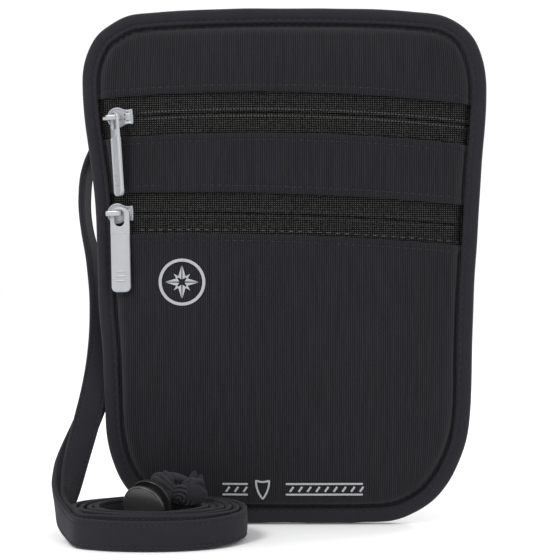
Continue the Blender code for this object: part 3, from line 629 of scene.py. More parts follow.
# each station: x, y, z and the way the ribbon's upper edge faces
LEFT_RUN = [(-52.0, 8.4, 165.0, -1, 0, 0), (-54.3, 8.8, 156, -1, 0, 0.2), (-60.5, 9.7, 147, -.85, -.4, .3),
            (-68.0, 10.2, 139.5, -.55, -.8, .3), (-73.0, 10.3, 131, -.3, -.95, 0), (-74.4, 10.0, 120, -.25, -.97, 0),
            (-73.4, 10.0, 108, -.25, -.97, 0), (-71.0, 10.3, 96, -.4, -.92, 0), (-69.2, 10.6, 84, -.6, -.8, 0),
            (-68.4, 10.2, 72, -.8, -.6, 0), (-68.9, 8.9, 60, -.95, -.3, .05), (-70.6, 5.9, 48.5, -.98, -.15, .1),
            (-73.0, 0.6, 37, -.93, -.3, .25), (-75.2, -6.3, 27, -.85, -.4, .4), (-76.3, -13.4, 19.8, -.72, -.55, .55),
            (-76.8, -19.8, 14.9, -.5, -.55, .8), (-77.1, -26.2, 11.0, -.2, -.4, .95), (-75.8, -32.2, 8.6, 0, -.15, 1),
            (-72.3, -38.3, 7.2, 0, 0, 1)]
RIGHT_RUN = [(52.0, 8.4, 165.0, -1, 0, 0), (51.6, 9.0, 152, -1, 0, 0), (48.5, 10.2, 134, -.97, 0, .2),
             (40.5, 11.2, 115, -.85, 0, .45), (27.5, 11.9, 98, -.75, 0, .6), (11.0, 12.3, 84.5, -.6, 0, .8),
             (-8.0, 12.6, 75, -.45, 0, .9), (-28.0, 12.9, 69.5, -.4, 0, .95), (-46.0, 13.4, 66, -.5, 0, .9),
             (-59.0, 13.7, 61.5, -.75, 0, .65), (-66.0, 12.9, 54.5, -.9, -.1, .35), (-69.9, 9.9, 46.5, -.97, -.15, .15),
             (-73.3, 4.3, 37.0, -.92, -.3, .25), (-77.0, -3.4, 28.0, -.84, -.42, .4), (-79.5, -11.0, 21.6, -.6, -.6, .6),
             (-80.5, -18.0, 17.2, -.3, -.6, .8), (-80.4, -25.2, 13.4, -.1, -.35, .95), (-78.6, -31.6, 9.8, 0, -.15, 1),
             (-74.9, -38.6, 6.6, 0, 0, 1)]
TURNS = 2.75
out_pts = spiral(222, 180 + 360 * TURNS, 34.1, 25.2, 5.5, 4.35, rise_outer, wave=0.25)
inn_pts = spiral(222, 180 + 360 * TURNS, 31.4, 23.0, 5.4, 4.2, rise_inner, wave=0.3)
LOCK_W = Vector((0, 0, 1)) - LOCK_AXIS * LOCK_AXIS.z
LOCK_W = tuple(LOCK_W.normalized())
# last stretch: up out of the eye and into the back of the cord lock
_end = np.array(LOCK_C) - np.array(LOCK_AXIS) * 5.6
for pts, dx, z0 in ((out_pts, -0.9, 7.2), (inn_pts, 1.2, 7.0)):
    pts += [(-50.6 + dx, -17.9, z0 + 0.7, 0, .1, 1), (-53.0 + dx, -21.2, z0 + 2.2, 0, .2, 1),
            (-51.0 + dx, -25.2, z0 + 4.6, *LOCK_W), (*(_end + (dx, 0, 0)), *LOCK_W)]


def ribbon_path(stations, step=1.0):
    c = catmull(stations, 10)
    n = max(20, int(length_of(c) / step))
    c = resample(c, n)
    return c[:, :3], c[:, 3:]


def ribbon(name, stations, body="pouch", face_sign=1.0):
    """Folded strap: flat band 10 mm wide with rounded folded edges and a stitched line near each."""
    path, up = ribbon_path(stations)
    T, W, N = frames(path, up)
    h, th = STRAP_W / 2, STRAP_T / 2 - 0.05
    half = [(0.0, 1.0), (1.3, 1.02), (2.5, 1.0), (3.15, .93), (3.5, .72), (3.7, .66), (3.9, .74), (4.2, .9), (4.55, .86),
            (4.82, .62), (4.96, .3)]
    prof = [(-x, y) for x, y in reversed(half)] + half[1:]
    prof = prof + [(x, -y) for x, y in reversed(prof)]
    prof = np.array(prof) * (h / 5.0, th)
    s = np.arange(len(path)) * 1.0
    bow = 0.16 * np.sin(s / 7.0) + 0.1 * np.sin(s / 3.1 + 1)
    rings = (path[:, None] + W[:, None] * prof[None, :, :1] +
             N[:, None] * (prof[None, :, 1:] + (bow[:, None] * np.cos(prof[:, 0] / h * 1.2))[:, :, None]))
    m = len(prof)
    V, F = tube_rings(rings)
    uv = np.zeros((len(V), 2))
    uv[:len(path) * m, 0] = np.repeat(s, m)
    uv[:len(path) * m, 1] = np.tile(np.where(np.arange(m) < m // 2, prof[:, 0], 24 - prof[:, 0]), len(path))
    ob = piece(name, V, F, STRAP_M, body, uv=uv)
    # stitches along both folded edges, both faces
    C, D, Nn = [], [], []
    for i in range(3, len(path) - 3, 2):
        for e in (-1, 1):
            for f in (-1, 1):
                C.append(path[i] + W[i] * e * 3.7 * h / 5 + N[i] * f * (th * 0.74 + f * bow[i] * .8))
                D.append(T[i])
                Nn.append(N[i] * f)
    V, F = capsules(C, D, Nn, 0.62, 0.2, m=5)
    st = piece(name + "_stitches", V, F, THREAD_M, body)
    return ob, st, path


left_strap, left_st, left_path = ribbon("neck_strap_left", LEFT_RUN + inn_pts)
right_strap, right_st, right_path = ribbon("neck_strap_right", RIGHT_RUN + out_pts)
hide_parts("neck_strap_left_run", "neck_strap_coil")
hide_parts("neck_strap_right_run", "neck_strap_coil")


# ------------------------------------------------------------------ front panels: real ribs, folds and stitching
def value_noise(X, Z, sx, sz, seed):
    """Smooth repeatable noise, -1 to 1."""
    g = np.random.default_rng(seed).uniform(-1, 1, (64, 64))
    u, v = X / sx + 31.3, Z / sz + 17.7
    i, j = np.floor(u).astype(int), np.floor(v).astype(int)
    fu, fv = u - i, v - j
    fu, fv = fu * fu * (3 - 2 * fu), fv * fv * (3 - 2 * fv)
    a, b = g[i % 64, j % 64], g[(i + 1) % 64, j % 64]
    c, d = g[i % 64, (j + 1) % 64], g[(i + 1) % 64, (j + 1) % 64]
    return (a * (1 - fu) + b * fu) * (1 - fv) + (c * (1 - fu) + d * fu) * fv


COLS = np.arange(-371, 372) * (RIB / 4.0)
RIB_H = np.array([0.0, 0.78, 1.0, 0.78])[np.arange(-371, 372) % 4] * 0.26


def warp(C, Z):
    """The cloth is pulled round the corners, so its ribs bend with the edge there."""
    low = np.clip((44.0 - Z) / 44.0, 0, 1) ** 2
    top = np.clip((Z - 158.0) / 30.0, 0, 1) ** 2
    k = np.clip((np.abs(C) - 40.0) / 28.0, 0, 1.3) ** 1.6
    return C - np.sign(C) * k * (11.0 * low + 3.5 * top)


def panel(name, rows, low_fold_line=None, top_fold_line=None, keep=2.7):
    """rows: list of (height function, front offset, back offset).  Offsets are taken off the face's depth."""
    R = len(rows)
    C = np.tile(COLS, (R, 1))
    Z = np.stack([r[0](COLS) for r in rows])
    X = warp(C, Z)
    for i, r in enumerate(rows):
        Z[i] = r[0](X[i])
    dist, along = edge_field(X, Z)
    d = front_d(X, Z, dist)
    df = np.array([r[1] for r in rows])[:, None]
    db = np.array([r[2] for r in rows])[:, None]
    # folded edges: doubled cloth, a stitched groove 2.5 mm in, small puckers along it
    extra = np.zeros_like(d)
    for line, sign in ((low_fold_line, 1), (top_fold_line, -1)):
        if line is None:
            continue
        e = (Z - line(X)) * sign
        inside = 1 / (1 + np.exp((e - 2.75) / 0.16))
        extra += 0.20 * inside
        extra -= 0.27 * np.exp(-((e - 2.5) / 0.3) ** 2) * (1 + 0.35 * np.sin(X * 2 * math.pi / 2.7 + 0.4))
        extra += 0.09 * np.exp(-((e - 4.2) / 1.5) ** 2) * np.sin(X * 2 * math.pi / 5.4 + value_noise(X, Z, 9, 9, 5) * 2)
    seam = np.clip((dist - 6.0) / 2.0, 0, 1)
    pull = np.exp(-((dist - 7.6) / 1.5) ** 2)
    extra += pull * (0.17 * np.sin(along * 2 * math.pi / 3.3 + 2.2 * value_noise(along, dist * 0, 15, 9, 3)))
    extra -= 0.45 * np.exp(-((dist - 6.9) / 0.45) ** 2)
    extra += seam * (0.28 * value_noise(X, Z, 21, 34, 11) + 0.14 * value_noise(X, Z, 8, 17, 12))
    amp = 0.85 + 0.3 * value_noise(X, Z, 12, 26, 13)
    amp += 0.7 * np.exp(-((X + 57) / 7.0) ** 2) * np.clip((95 - Z) / 60, 0, 1)
    ribs = RIB_H[None, :] * amp * (0.35 + 0.65 * seam)
    front = np.stack([X, HALF - (d + df + extra + ribs - 0.1), Z], -1)
    back = np.stack([X, HALF - (d + db), Z], -1)
    ok = dist > keep
    ok &= (X > -80) & (X < 80)
    mask = ok[:-1, :-1] & ok[1:, :-1] & ok[:-1, 1:] & ok[1:, 1:]
    V, F, used = masked_shell(front, back, mask)
    flat = np.stack([C, Z], -1).reshape(-1, 2)
    return piece(name, V, F, RIBBED, "pouch", uv=np.vstack([flat, flat])[used])


def z_line(z, off):
    return lambda X: zip_z(z, X) + off


def const(h):
    return lambda X: np.full_like(X, h, dtype=float)


def blend_line(a, b, t):
    return lambda X: a(X) * (1 - t) + b(X) * t


def shifted(f, e):
    return lambda X: f(X) + e


top_fold, mid_high = z_line(UPPER_ZIP, FOLD_HALF), z_line(UPPER_ZIP, -FOLD_HALF)
mid_low, low_fold = z_line(LOWER_ZIP, FOLD_HALF), z_line(LOWER_ZIP, -FOLD_HALF)
ROLL = [(0.55, -0.02, -0.85), (0.28, -0.10, -0.85), (0.1, -0.24, -0.8), (0.0, -0.46, -0.72)]
NEAR = [3.6, 3.1, 2.85, 2.65, 2.5, 2.35, 2.1, 1.6, 1.05]

rows = [(const(z), 0, -PANEL_T) for z in (3.0, 4.2, 5.2, 6.0, 6.6, 7.0, 7.5, 8.1, 8.9, 9.8, 11, 12.4)]
rows += [(blend_line(const(14.0), shifted(low_fold, -4.4), t), 0, -PANEL_T) for t in np.linspace(0, 1, 40)]
rows += [(shifted(low_fold, -e), 0, -PANEL_T) for e in NEAR]
rows += [(shifted(low_fold, -e), a, b) for e, a, b in ROLL]
p_bottom = panel("bottom_panel", rows, None, low_fold)

rows = [(shifted(mid_low, e), a, b) for e, a, b in reversed(ROLL)]
rows += [(shifted(mid_low, e), 0, -PANEL_T) for e in reversed(NEAR)]
rows += [(blend_line(shifted(mid_low, 4.3), shifted(mid_high, -4.3), t), 0, -PANEL_T) for t in np.linspace(0, 1, 9)]
rows += [(shifted(mid_high, -e), 0, -PANEL_T) for e in NEAR]
rows += [(shifted(mid_high, -e), a, b) for e, a, b in ROLL]
p_middle = panel("middle_panel", rows, mid_low, mid_high)

rows = [(shifted(top_fold, e), a, b) for e, a, b in reversed(ROLL)]
rows += [(shifted(top_fold, e), 0, -PANEL_T) for e in reversed(NEAR)]
rows += [(blend_line(shifted(top_fold, 4.3), const(176.0), t), 0, -PANEL_T) for t in np.linspace(0, 1, 12)]
rows += [(const(z), 0, -PANEL_T) for z in (177.6, 179, 180.2, 181.2, 182, 182.6, 183.1, 183.6, 184.4, 185.6, 187)]
p_top = panel("top_panel", rows, top_fold, None)
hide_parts("front_panel_bottom")
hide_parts("front_panel_middle")
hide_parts("front_panel_top")

# back panel: the same ribbed cloth, nearly flat
rows_z = np.concatenate([[2.4, 4, 5.4, 6.4, 7.4, 9, 11], np.linspace(14, 176, 42), [179, 181, 182.6, 183.6, 185, 187.4]])
C = np.tile(COLS, (len(rows_z), 1))
Z = np.tile(rows_z[:, None], (1, len(COLS)))
X = warp(C, Z)
dist, along = edge_field(X, Z)
swell = ease((dist - 6.4) / 9.0)
off = 1.05 - 0.55 * swell - 0.14 * value_noise(X, Z, 24, 38, 21) * swell
off += np.exp(-((dist - 7.4) / 1.4) ** 2) * 0.12 * np.sin(along * 2 * math.pi / 3.3)
off -= RIB_H[None, :] * (0.4 + 0.5 * swell)
outer_y, inner_y = HALF - np.minimum(off, 1.2), np.full_like(X, HALF - 1.9)
ok = dist > 2.7
mask = ok[:-1, :-1] & ok[1:, :-1] & ok[:-1, 1:] & ok[1:, 1:]
V, F, used = masked_shell(np.stack([X, outer_y, Z], -1), np.stack([X, inner_y, Z], -1), mask)
flat = np.stack([C, Z], -1).reshape(-1, 2)
p_back = piece("rear_panel", V, F, RIBBED, "pouch", uv=np.vstack([flat, flat])[used])
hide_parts("back_panel")

# ------------------------------------------------------------------ stitches along the folded panel edges
def surface_point(x, z, lift):
    d = float(front_d(np.array([x]), np.array([z]))[0])
    return np.array([x, HALF - d - lift, z])


def face_normal(x, z):
    e = 0.6
    a, b = surface_point(x + e, z, 0) - surface_point(x - e, z, 0), surface_point(x, z + e, 0) - surface_point(x, z - e, 0)
    n = np.cross(a, b)
    n /= np.linalg.norm(n)
    return -n if n[1] > 0 else n


def stitch_line(name, line, pitch, half, r, lift, mat, x0=-64.0, x1=65.0, squash=0.75):
    C, D, Nn = [], [], []
    for x in np.arange(x0, x1, pitch):
        z0, z1 = float(line(np.array([x]))[0]), float(line(np.array([x + half]))[0])
        p = surface_point(x, z0, lift)
        q = surface_point(x + half, z1, lift)
        C.append(p)
        D.append((q - p) / np.linalg.norm(q - p))
        Nn.append(face_normal(x, z0))
    V, F = capsules(C, D, Nn, half, r, squash)
    return piece(name, V, F, mat, "pouch")


stitch_line("fold_stitches_bottom", shifted(low_fold, -2.5), 2.7, 0.95, 0.17, -0.05, THREAD_M)
stitch_line("fold_stitches_middle_low", shifted(mid_low, 2.5), 2.7, 0.95, 0.17, -0.05, THREAD_M)
stitch_line("fold_stitches_middle_high", shifted(mid_high, -2.5), 2.7, 0.95, 0.17, -0.05, THREAD_M)
stitch_line("fold_stitches_top", shifted(top_fold, 2.5), 2.7, 0.95, 0.17, -0.05, THREAD_M)


# ------------------------------------------------------------------ zip tapes and their sewn-in chains
def zip_tape(name, z, lo, hi, cad):
    offs = np.arange(lo, hi + 1e-6, 0.35)
    zc = z["a"]
    x0 = max(in_l(zc + lo - 2), in_l(zc + hi + 2)) + 0.4
    x1 = min(in_r(zc + lo - 2), in_r(zc + hi + 2)) - 0.4
    xs = np.arange(x0, x1, 0.33)
    X = np.tile(xs, (len(offs), 1))
    O = np.tile(offs[:, None], (1, len(xs)))
    Z = zip_z(z, X) + O
    d = front_d(X, Z) - TAPE_BELOW
    a = np.abs(O)
    ridge = 0.17 * np.clip((a - 0.15) / 0.3, 0, 1) * np.clip((2.5 - a) / 0.5, 0, 1)
    # woven ground: small staggered knots, and fine warp lines beside the chain
    weave = 0.06 * np.sin(X * 2 * math.pi / 1.3) * np.sin(Z * 2 * math.pi / 1.4 + np.floor(X / 1.3) * math.pi)
    weave += 0.03 * value_noise(X, Z, 1.3, 1.3, 31)
    chain = -0.10 * np.exp(-((a - 1.25) / 0.16) ** 2) * (0.6 + 0.4 * np.sin(X * 2 * math.pi / 1.25))
    fr = np.stack([X, HALF - (d + ridge + weave * (a > 2.3) + chain - 0.06), Z], -1)
    bk = np.stack([X, HALF - (d - TAPE_T), Z], -1)
    V, F, _ = masked_shell(fr, bk, np.ones((len(offs) - 1, len(xs) - 1), bool))
    ob = piece(name, V, F, TAPE_M, "pouch")
    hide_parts(cad)
    return ob


zip_tape("upper_tape_high", UPPER_ZIP, 0.07, 9.6, "upper_zip_tape_upper")
zip_tape("upper_tape_low", UPPER_ZIP, -9.6, -0.07, "upper_zip_tape_lower")
zip_tape("lower_tape_high", LOWER_ZIP, 0.05, 9.6, "lower_zip_tape_upper")
zip_tape("lower_tape_low", LOWER_ZIP, -9.6, -0.05, "lower_zip_tape_lower")
for nm, z in (("upper", UPPER_ZIP), ("lower", LOWER_ZIP)):
    for side, e in (("high", 1.25), ("low", -1.25)):
        stitch_line(nm + "_chain_thread_" + side, z_line(z, e), 1.25, 0.40, 0.17, -TAPE_BELOW + 0.1,
                    DASH_M if nm == "upper" else THREAD_M,
                    -52.0, 68.0)
stitch_line("upper_tape_thread", z_line(UPPER_ZIP, -6.3), 2.7, 0.9, 0.14, -TAPE_BELOW + 0.04, THREAD_M,
            -66.0, 66.0)
stitch_line("lower_tape_thread", z_line(LOWER_ZIP, -6.2), 3.4, 0.85, 0.15, -TAPE_BELOW + 0.06, DASH_M,
            -52.0, 64.0)

# ------------------------------------------------------------------ edge binding
S = EDGE_S
front_prof = [(0.0, 3.0), (0.02, 3.9), (0.16, 4.7), (0.48, 5.35), (0.95, 5.8), (1.6, 6.08), (2.4, 6.2), (3.2, 6.15),
              (3.85, 5.98), (4.25, 5.72), (4.45, 5.56), (4.65, 5.68), (4.95, 5.86), (5.3, 5.88), (5.6, 5.7), (5.78, 5.35),
              (5.7, 5.08), (5.2, 5.0)]
inner_prof = [(1.5, 5.0), (1.3, 4.6), (1.3, 1.3), (1.5, 0.9)]
back_prof = [(w, 5.96 - d) for w, d in reversed(front_prof)][:-1]
prof = front_prof + inner_prof + back_prof
M = len(prof)
wob = 0.10 * np.sin(S / 8.3) + 0.07 * np.sin(S / 3.7 + 1.3)
puck = np.sin(S * 2 * math.pi / 2.9 + 1.5 * np.sin(S / 17.0))
puck2 = np.sin(S * 2 * math.pi / 6.1 + 2.0 * np.sin(S / 23.0))
join_s = float(EDGE_S[np.argmin((EDGE[:, 0] - 7.0) ** 2 + EDGE[:, 1] ** 2)])
dj = (S - join_s + EDGE_LEN / 2) % EDGE_LEN - EDGE_LEN / 2
rings = np.zeros((EDGE_N, M, 3))
for k, (w, d) in enumerate(prof):
    inner_side = 1.0 if w > 0.9 else 0.3
    ww = w + (wob * 0.6 if w < 3 else 0.0) + (0.10 * puck if 4.9 < w else 0.0) * (1 if k < len(front_prof) else 0.4)
    loop = inset_loop(EDGE, ww)
    dd = np.full(EDGE_N, float(d))
    sgn = 1.0 if d > 3 else -1.0
    if k < len(front_prof) or k >= len(front_prof) + len(inner_prof):
        dome = math.exp(-((w - 2.0) / 1.6) ** 2)
        dd += sgn * (dome * 0.10 * puck2 + math.exp(-((w - 4.45) / 0.7) ** 2) * 0.09 * puck)
        tilt = (w - 2.5) * 0.35
        dd += sgn * inner_side * (-0.34 * np.exp(-((dj - tilt) / 0.42) ** 2) + 0.16 / (1 + np.exp(-(dj - tilt) / 0.3)) *
                                  (dj < 9) * np.exp(-np.maximum(dj, 0) / 7.0))
    rings[:, k] = np.stack([loop[:, 0], HALF - dd, np.maximum(loop[:, 1], 0.0)], 1)
V, F = tube_rings(rings, closed=True)
arc = np.cumsum([0] + [math.dist(prof[k], prof[k - 1]) for k in range(1, M)])
uv = np.stack([np.repeat(S, M), np.tile(arc, EDGE_N)], 1)
binding = piece("edge_tape", V, F, TWILL, "pouch", uv=uv)
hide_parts("edge_binding")
# binding stitches, sunk in the groove on the front and the back
C, D, Nn = [], [], []
loop = inset_loop(EDGE, 4.45)
tan = np.roll(loop, -1, 0) - np.roll(loop, 1, 0)
tan /= np.linalg.norm(tan, axis=1)[:, None]
for s in np.arange(0, EDGE_LEN - 1.5, 2.9):
    i = int(s / EDGE_LEN * EDGE_N)
    for yy, ny in ((HALF - 5.62, -1), (HALF - 0.34, 1)):
        C.append(np.array([loop[i][0], yy, max(loop[i][1], 0.3)]))
        D.append(np.array([tan[i][0], 0, tan[i][1]]))
        Nn.append(np.array([0, ny, 0]))
V, F = capsules(C, D, Nn, 0.95, 0.17)
piece("edge_stitches", V, F, THREAD_M, "pouch")


# ------------------------------------------------------------------ zip sliders
def shield(r, cx, tail_u, tail_w, neck_w, steps=36):
    pts = []
    a0 = math.radians(58)
    for i in range(steps + 1):
        a = a0 + (2 * math.pi - 2 * a0) * i / steps
        pts.append((cx + r * math.cos(a), r * math.sin(a)))
    low = []
    p0, p1 = pts[-1], (tail_u, -tail_w)
    for i in range(1, 11):
        t = i / 11
        w = p0[1] * (1 - t) ** 2 + 2 * (-neck_w) * t * (1 - t) + p1[1] * t * t
        low.append((p0[0] + (p1[0] - 0.35 - p0[0]) * t, w))
    pts += low
    c = 0.4
    for i in range(5):
        a = -math.pi / 2 + math.pi / 2 * i / 4
        pts.append((tail_u - c + c * math.cos(a), -tail_w + c + c * math.sin(a)))
    for i in range(1, 4):
        pts.append((tail_u + 0.12 * math.sin(math.pi * i / 4), -tail_w + c + (2 * tail_w - 2 * c) * i / 4))
    for i in range(5):
        a = math.pi / 2 * i / 4
        pts.append((tail_u - c + c * math.cos(a), tail_w - c + c * math.sin(a)))
    pts += [(u, -w) for u, w in reversed(low)]
    return np.array(pts)


def inset1(loop, e):
    nxt, prv = np.roll(loop, -1, 0), np.roll(loop, 1, 0)
    t = nxt - prv
    t /= np.linalg.norm(t, axis=1)[:, None]
    return loop + np.stack([-t[:, 1], t[:, 0]], 1) * e


def stacked(loop, levels):
    """Loops at (inset, height) -> rings of (u, n, w)."""
    rings = []
    for e, n in levels:
        l = inset1(loop, e)
        rings.append(np.stack([l[:, 0], np.full(len(l), n), l[:, 1]], 1))
    return np.array(rings)


def sweep(path, half_w, half_t, m=16, power=2.6):
    """Flat bar along a path in the (u, n) plane; its width runs along w."""
    path = np.array(path, float)
    T = np.gradient(path, axis=0)
    T /= np.linalg.norm(T, axis=1)[:, None]
    rings = []
    for (u, n), (tu, tn) in zip(path, T):
        nu, nn = -tn, tu
        ring = []
        for q in range(m):
            a = 2 * math.pi * q / m
            c, s = math.cos(a), math.sin(a)
            x = half_t * math.copysign(abs(c) ** (2 / power), c)
            y = half_w * math.copysign(abs(s) ** (2 / power), s)
            ring.append((u + nu * x, n + nn * x, y))
        rings.append(ring)
    return np.array(rings)


PLATE_N0, PLATE_N1 = 0.28, 1.28
BAIL_N = PLATE_N1 + 3.1
BAIL_U0, BAIL_U1 = -4.7, 1.15
REAR_N1 = -TAPE_T - 0.25 - COIL_T - 0.25
REAR_N0 = REAR_N1 - 0.8


def placed(arc, theta, V):
    return np.array([arc.place(theta, *[float(a) for a in v]) for v in V])


def slider(prefix, arc, body):
    theta = arc.angle(SLIDER_X)
    top = shield(3.75, -1.05, 4.85, 2.8, 2.25)
    parts = [tube_rings(stacked(top, [(0.16, PLATE_N0), (0.03, PLATE_N0 + 0.1), (0.0, PLATE_N0 + 0.3),
                                      (0.0, PLATE_N1 - 0.34), (0.06, PLATE_N1 - 0.16), (0.2, PLATE_N1 - 0.03),
                                      (0.36, PLATE_N1), (0.5, PLATE_N1 - 0.05), (0.62, PLATE_N1 - 0.17),
                                      (0.85, PLATE_N1 - 0.21), (1.5, PLATE_N1 - 0.2)]))]
    rear = shield(3.1, -0.15, 4.8, 3.1, 2.9)
    parts.append(tube_rings(stacked(rear, [(0.25, REAR_N0), (0.05, REAR_N0 + 0.15), (0.0, REAR_N0 + 0.4),
                                           (0.05, REAR_N1 - 0.05), (0.2, REAR_N1)])))
    box = lambda u0, u1, n0, n1, w0, w1: tube_rings(np.array(
        [[(u, n, w) for u, w in ((u0, w0), (u1, w0), (u1, w1), (u0, w1))] for n in (n0, n1)]))
    parts.append(box(-3.1, -1.6, REAR_N1 - 0.3, PLATE_N0 + 0.3, -0.45, 0.45))
    parts.append(box(-1.6, 4.6, REAR_N1 - 0.3, -TAPE_T - 0.35, 2.5, 3.05))
    parts.append(box(-1.6, 4.6, REAR_N1 - 0.3, -TAPE_T - 0.35, -3.05, -2.5))
    # bail: a flat bar up from the nose, across and down through the tab's ring
    r = 0.75
    ul, ur, nb, nt = BAIL_U0 + 0.45, BAIL_U1 - 0.45, PLATE_N1 - 0.35, BAIL_N
    path = [(ul, nb), (ul, nb + 1.0), (ul, nt - r - 0.3)]
    path += [(ul + r - r * math.cos(a), nt - r + r * math.sin(a)) for a in np.linspace(0, math.pi / 2, 9)]
    path += [(ul + r + (ur - ul - 2 * r) * t, nt) for t in (0.2, 0.4, 0.6, 0.8)]
    path += [(ur - r + r * math.sin(a), nt - r + r * math.cos(a)) for a in np.linspace(0, math.pi / 2, 9)]
    path += [(ur, nt - r - 0.3), (ur, nb + 1.0), (ur, nb)]
    parts.append(tube_rings(sweep(path, 0.98, 0.42)))
    # a low boss where the bail's inner leg stands, and a shallow pad on the tail
    boss = np.array([(BAIL_U1 - 0.45 + 0.95 * math.cos(a), 1.35 * math.sin(a)) for a in
                     np.linspace(0, 2 * math.pi, 24, endpoint=False)])
    parts.append(tube_rings(stacked(boss, [(0, PLATE_N1 - 0.4), (0, PLATE_N1 + 0.02), (0.1, PLATE_N1 + 0.12),
                                           (0.3, PLATE_N1 + 0.14)])))
    pad = np.array([(3.05 + 1.05 * math.copysign(abs(math.cos(a)) ** 0.5, math.cos(a)),
                     1.35 * math.copysign(abs(math.sin(a)) ** 0.5, math.sin(a))) for a in
                    np.linspace(0, 2 * math.pi, 28, endpoint=False)])
    parts.append(tube_rings(stacked(pad, [(0, PLATE_N1 - 0.4), (0, PLATE_N1 - 0.14), (0.14, PLATE_N1 - 0.06),
                                          (0.4, PLATE_N1 - 0.05)])))
    V, F = join_meshes(parts)
    ob = piece(prefix + "_slider", placed(arc, theta, V), F, ENAMEL, body, angle=38)
    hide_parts(prefix + "_slider_body")
    return theta


# ------------------------------------------------------------------ pull tabs
def head_outline(half, top, low):
    """Ring end of a tab, (p, w), counter-clockwise, square below."""
    pts = []
    for i in range(29):
        a = math.pi * i / 28
        pts.append((half * math.copysign(abs(math.cos(a)) ** 0.92, math.cos(a)), top - 2.6 + 2.6 * math.sin(a)))
    for i in range(1, 10):
        pts.append((-half, top - 2.6 + (low - top + 2.6) * i / 10))
    for i in range(7):
        pts.append((-half + 2 * half * i / 6, low))
    for i in range(1, 10):
        pts.append((half, low + (top - 2.6 - low) * i / 10))
    return np.array(pts)


def oval_hole(cx, half, top, low, n=16):
    pts = []
    for i in range(n + 1):
        a = math.pi * i / n
        pts.append((cx + half * math.cos(a), top - half + half * math.sin(a)))
    for i in range(n + 1):
        a = math.pi + math.pi * i / n
        pts.append((cx + half * math.cos(a), low + half + half * math.sin(a)))
    return np.array(pts)


def plate_with_hole(outer, hole, t):
    """Closed plate with softened edges, in (p, q, w)."""
    from mathutils.geometry import tessellate_polygon
    V, F = [], []

    def band(loop, levels, sign):
        first = len(V)
        m = len(loop)
        for e, q in levels:
            l = inset1(loop, e * sign)
            V.extend([(a, q, b) for a, b in l])
        for k in range(len(levels) - 1):
            for i in range(m):
                j = (i + 1) % m
                F.append((first + k * m + i, first + k * m + j, first + (k + 1) * m + j, first + (k + 1) * m + i))
        return first, first + (len(levels) - 1) * m

    lv = [(0.2, t), (0.07, t - 0.05), (0.0, t - 0.17), (0.0, -t + 0.17), (0.07, -t + 0.05), (0.2, -t)]
    o0, o1 = band(outer, lv, 1)
    h0, h1 = band(hole, lv, -1)
    for ob, hb in ((o0, h0), (o1, h1)):
        idx = list(range(ob, ob + len(outer))) + list(range(hb, hb + len(hole)))
        loops = [[Vector((V[i][0], V[i][2], 0)) for i in range(ob, ob + len(outer))],
                 [Vector((V[i][0], V[i][2], 0)) for i in range(hb, hb + len(hole))]]
        for tri in tessellate_polygon(loops):
            F.append(tuple(idx[a] for a in tri))
    bm = bmesh.new()
    bv = [bm.verts.new(v) for v in V]
    for f in F:
        try:
            bm.faces.new([bv[i] for i in f])
        except ValueError:
            pass
    bmesh.ops.recalc_face_normals(bm, faces=bm.faces)
    bm.verts.index_update()
    V = [tuple(v.co) for v in bm.verts]
    F = [tuple(v.index for v in f.verts) for f in bm.faces]
    bm.free()
    return np.array(V), F


def grip_body(half, w_top, w_foot, t):
    """Thicker handle of the tab: a lofted bar with a raised rim and a soft square foot."""
    rings = []
    stations = [(w_top, 0.80), (w_top - 0.12, 0.93), (w_top - 0.4, 1.0)] + \
        [(w_top - 0.4 + (w_foot + 1.9 - w_top + 0.4) * k / 10, 1.0) for k in range(1, 11)]
    c = 1.9
    foot = []
    for k in range(1, 9):
        a = math.pi / 2 * k / 8
        foot.append((w_foot + c - c * math.sin(a), (half - c * (1 - math.cos(a))) / half))
    for w, k in stations + foot:
        b = half * k
        tt = t * (0.72 if w == w_top else 1.0) * (1.0 if w > w_foot + 0.5 else 0.55 + 0.9 * (w - w_foot))
        sec = [(-b, 0), (-b, tt * .55), (-b + .1, tt * .82), (-b + .28, tt), (-b + .62, tt), (-b + .85, tt - .15),
               (-b * .5, tt - .18), (0, tt - .18), (b * .5, tt - .18), (b - .85, tt - .15), (b - .62, tt), (b - .28, tt),
               (b - .1, tt * .82), (b, tt * .55), (b, 0)]
        sec += [(p, -q) for p, q in reversed(sec[1:-1])]
        rings.append([(p, q, w) for p, q in sec])
    return tube_rings(np.array(rings))


def pull_tab(name, arc, theta, mapper, half, hole, body, cad):
    top, length = 2.25, 31.0
    head = plate_with_hole(head_outline(half, top, top - 10.6), hole, 0.45)
    parts = [head, grip_body(half - 0.05, top - 9.6, top - length, 0.74)]
    for k in range(3):      # three low ridges for the fingers
        w = top - length + 4.1 + k * 1.7
        ring = np.array([(1.9 * math.copysign(abs(math.cos(a)) ** 0.6, math.cos(a)),
                          w + 0.34 * math.sin(a)) for a in np.linspace(0, 2 * math.pi, 24, endpoint=False)])
        for s in (1, -1):
            lv = [(0, 0.3 * s), (0, 0.64 * s), (0.08, 0.71 * s), (0.2, 0.73 * s)]
            rr = []
            for e, q in lv:
                l = inset1(ring, e)
                rr.append(np.stack([l[:, 0], np.full(len(l), q), l[:, 1]], 1))
            parts.append(tube_rings(np.array(rr)))
    V, F = join_meshes(parts)
    P = np.array([mapper(*[float(a) for a in v]) for v in V])
    ob = piece(name, placed(arc, theta, P), F, ENAMEL, body, angle=40)
    bm = bmesh.new()
    bm.from_mesh(ob.data)
    bmesh.ops.recalc_face_normals(bm, faces=bm.faces)
    bm.to_mesh(ob.data)
    bm.free()
    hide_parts(cad)
    return ob


up_theta = slider("upper", UP, "upper_slider")
lo_theta = slider("lower", LO, "lower_slider")
YAW = math.radians(52)


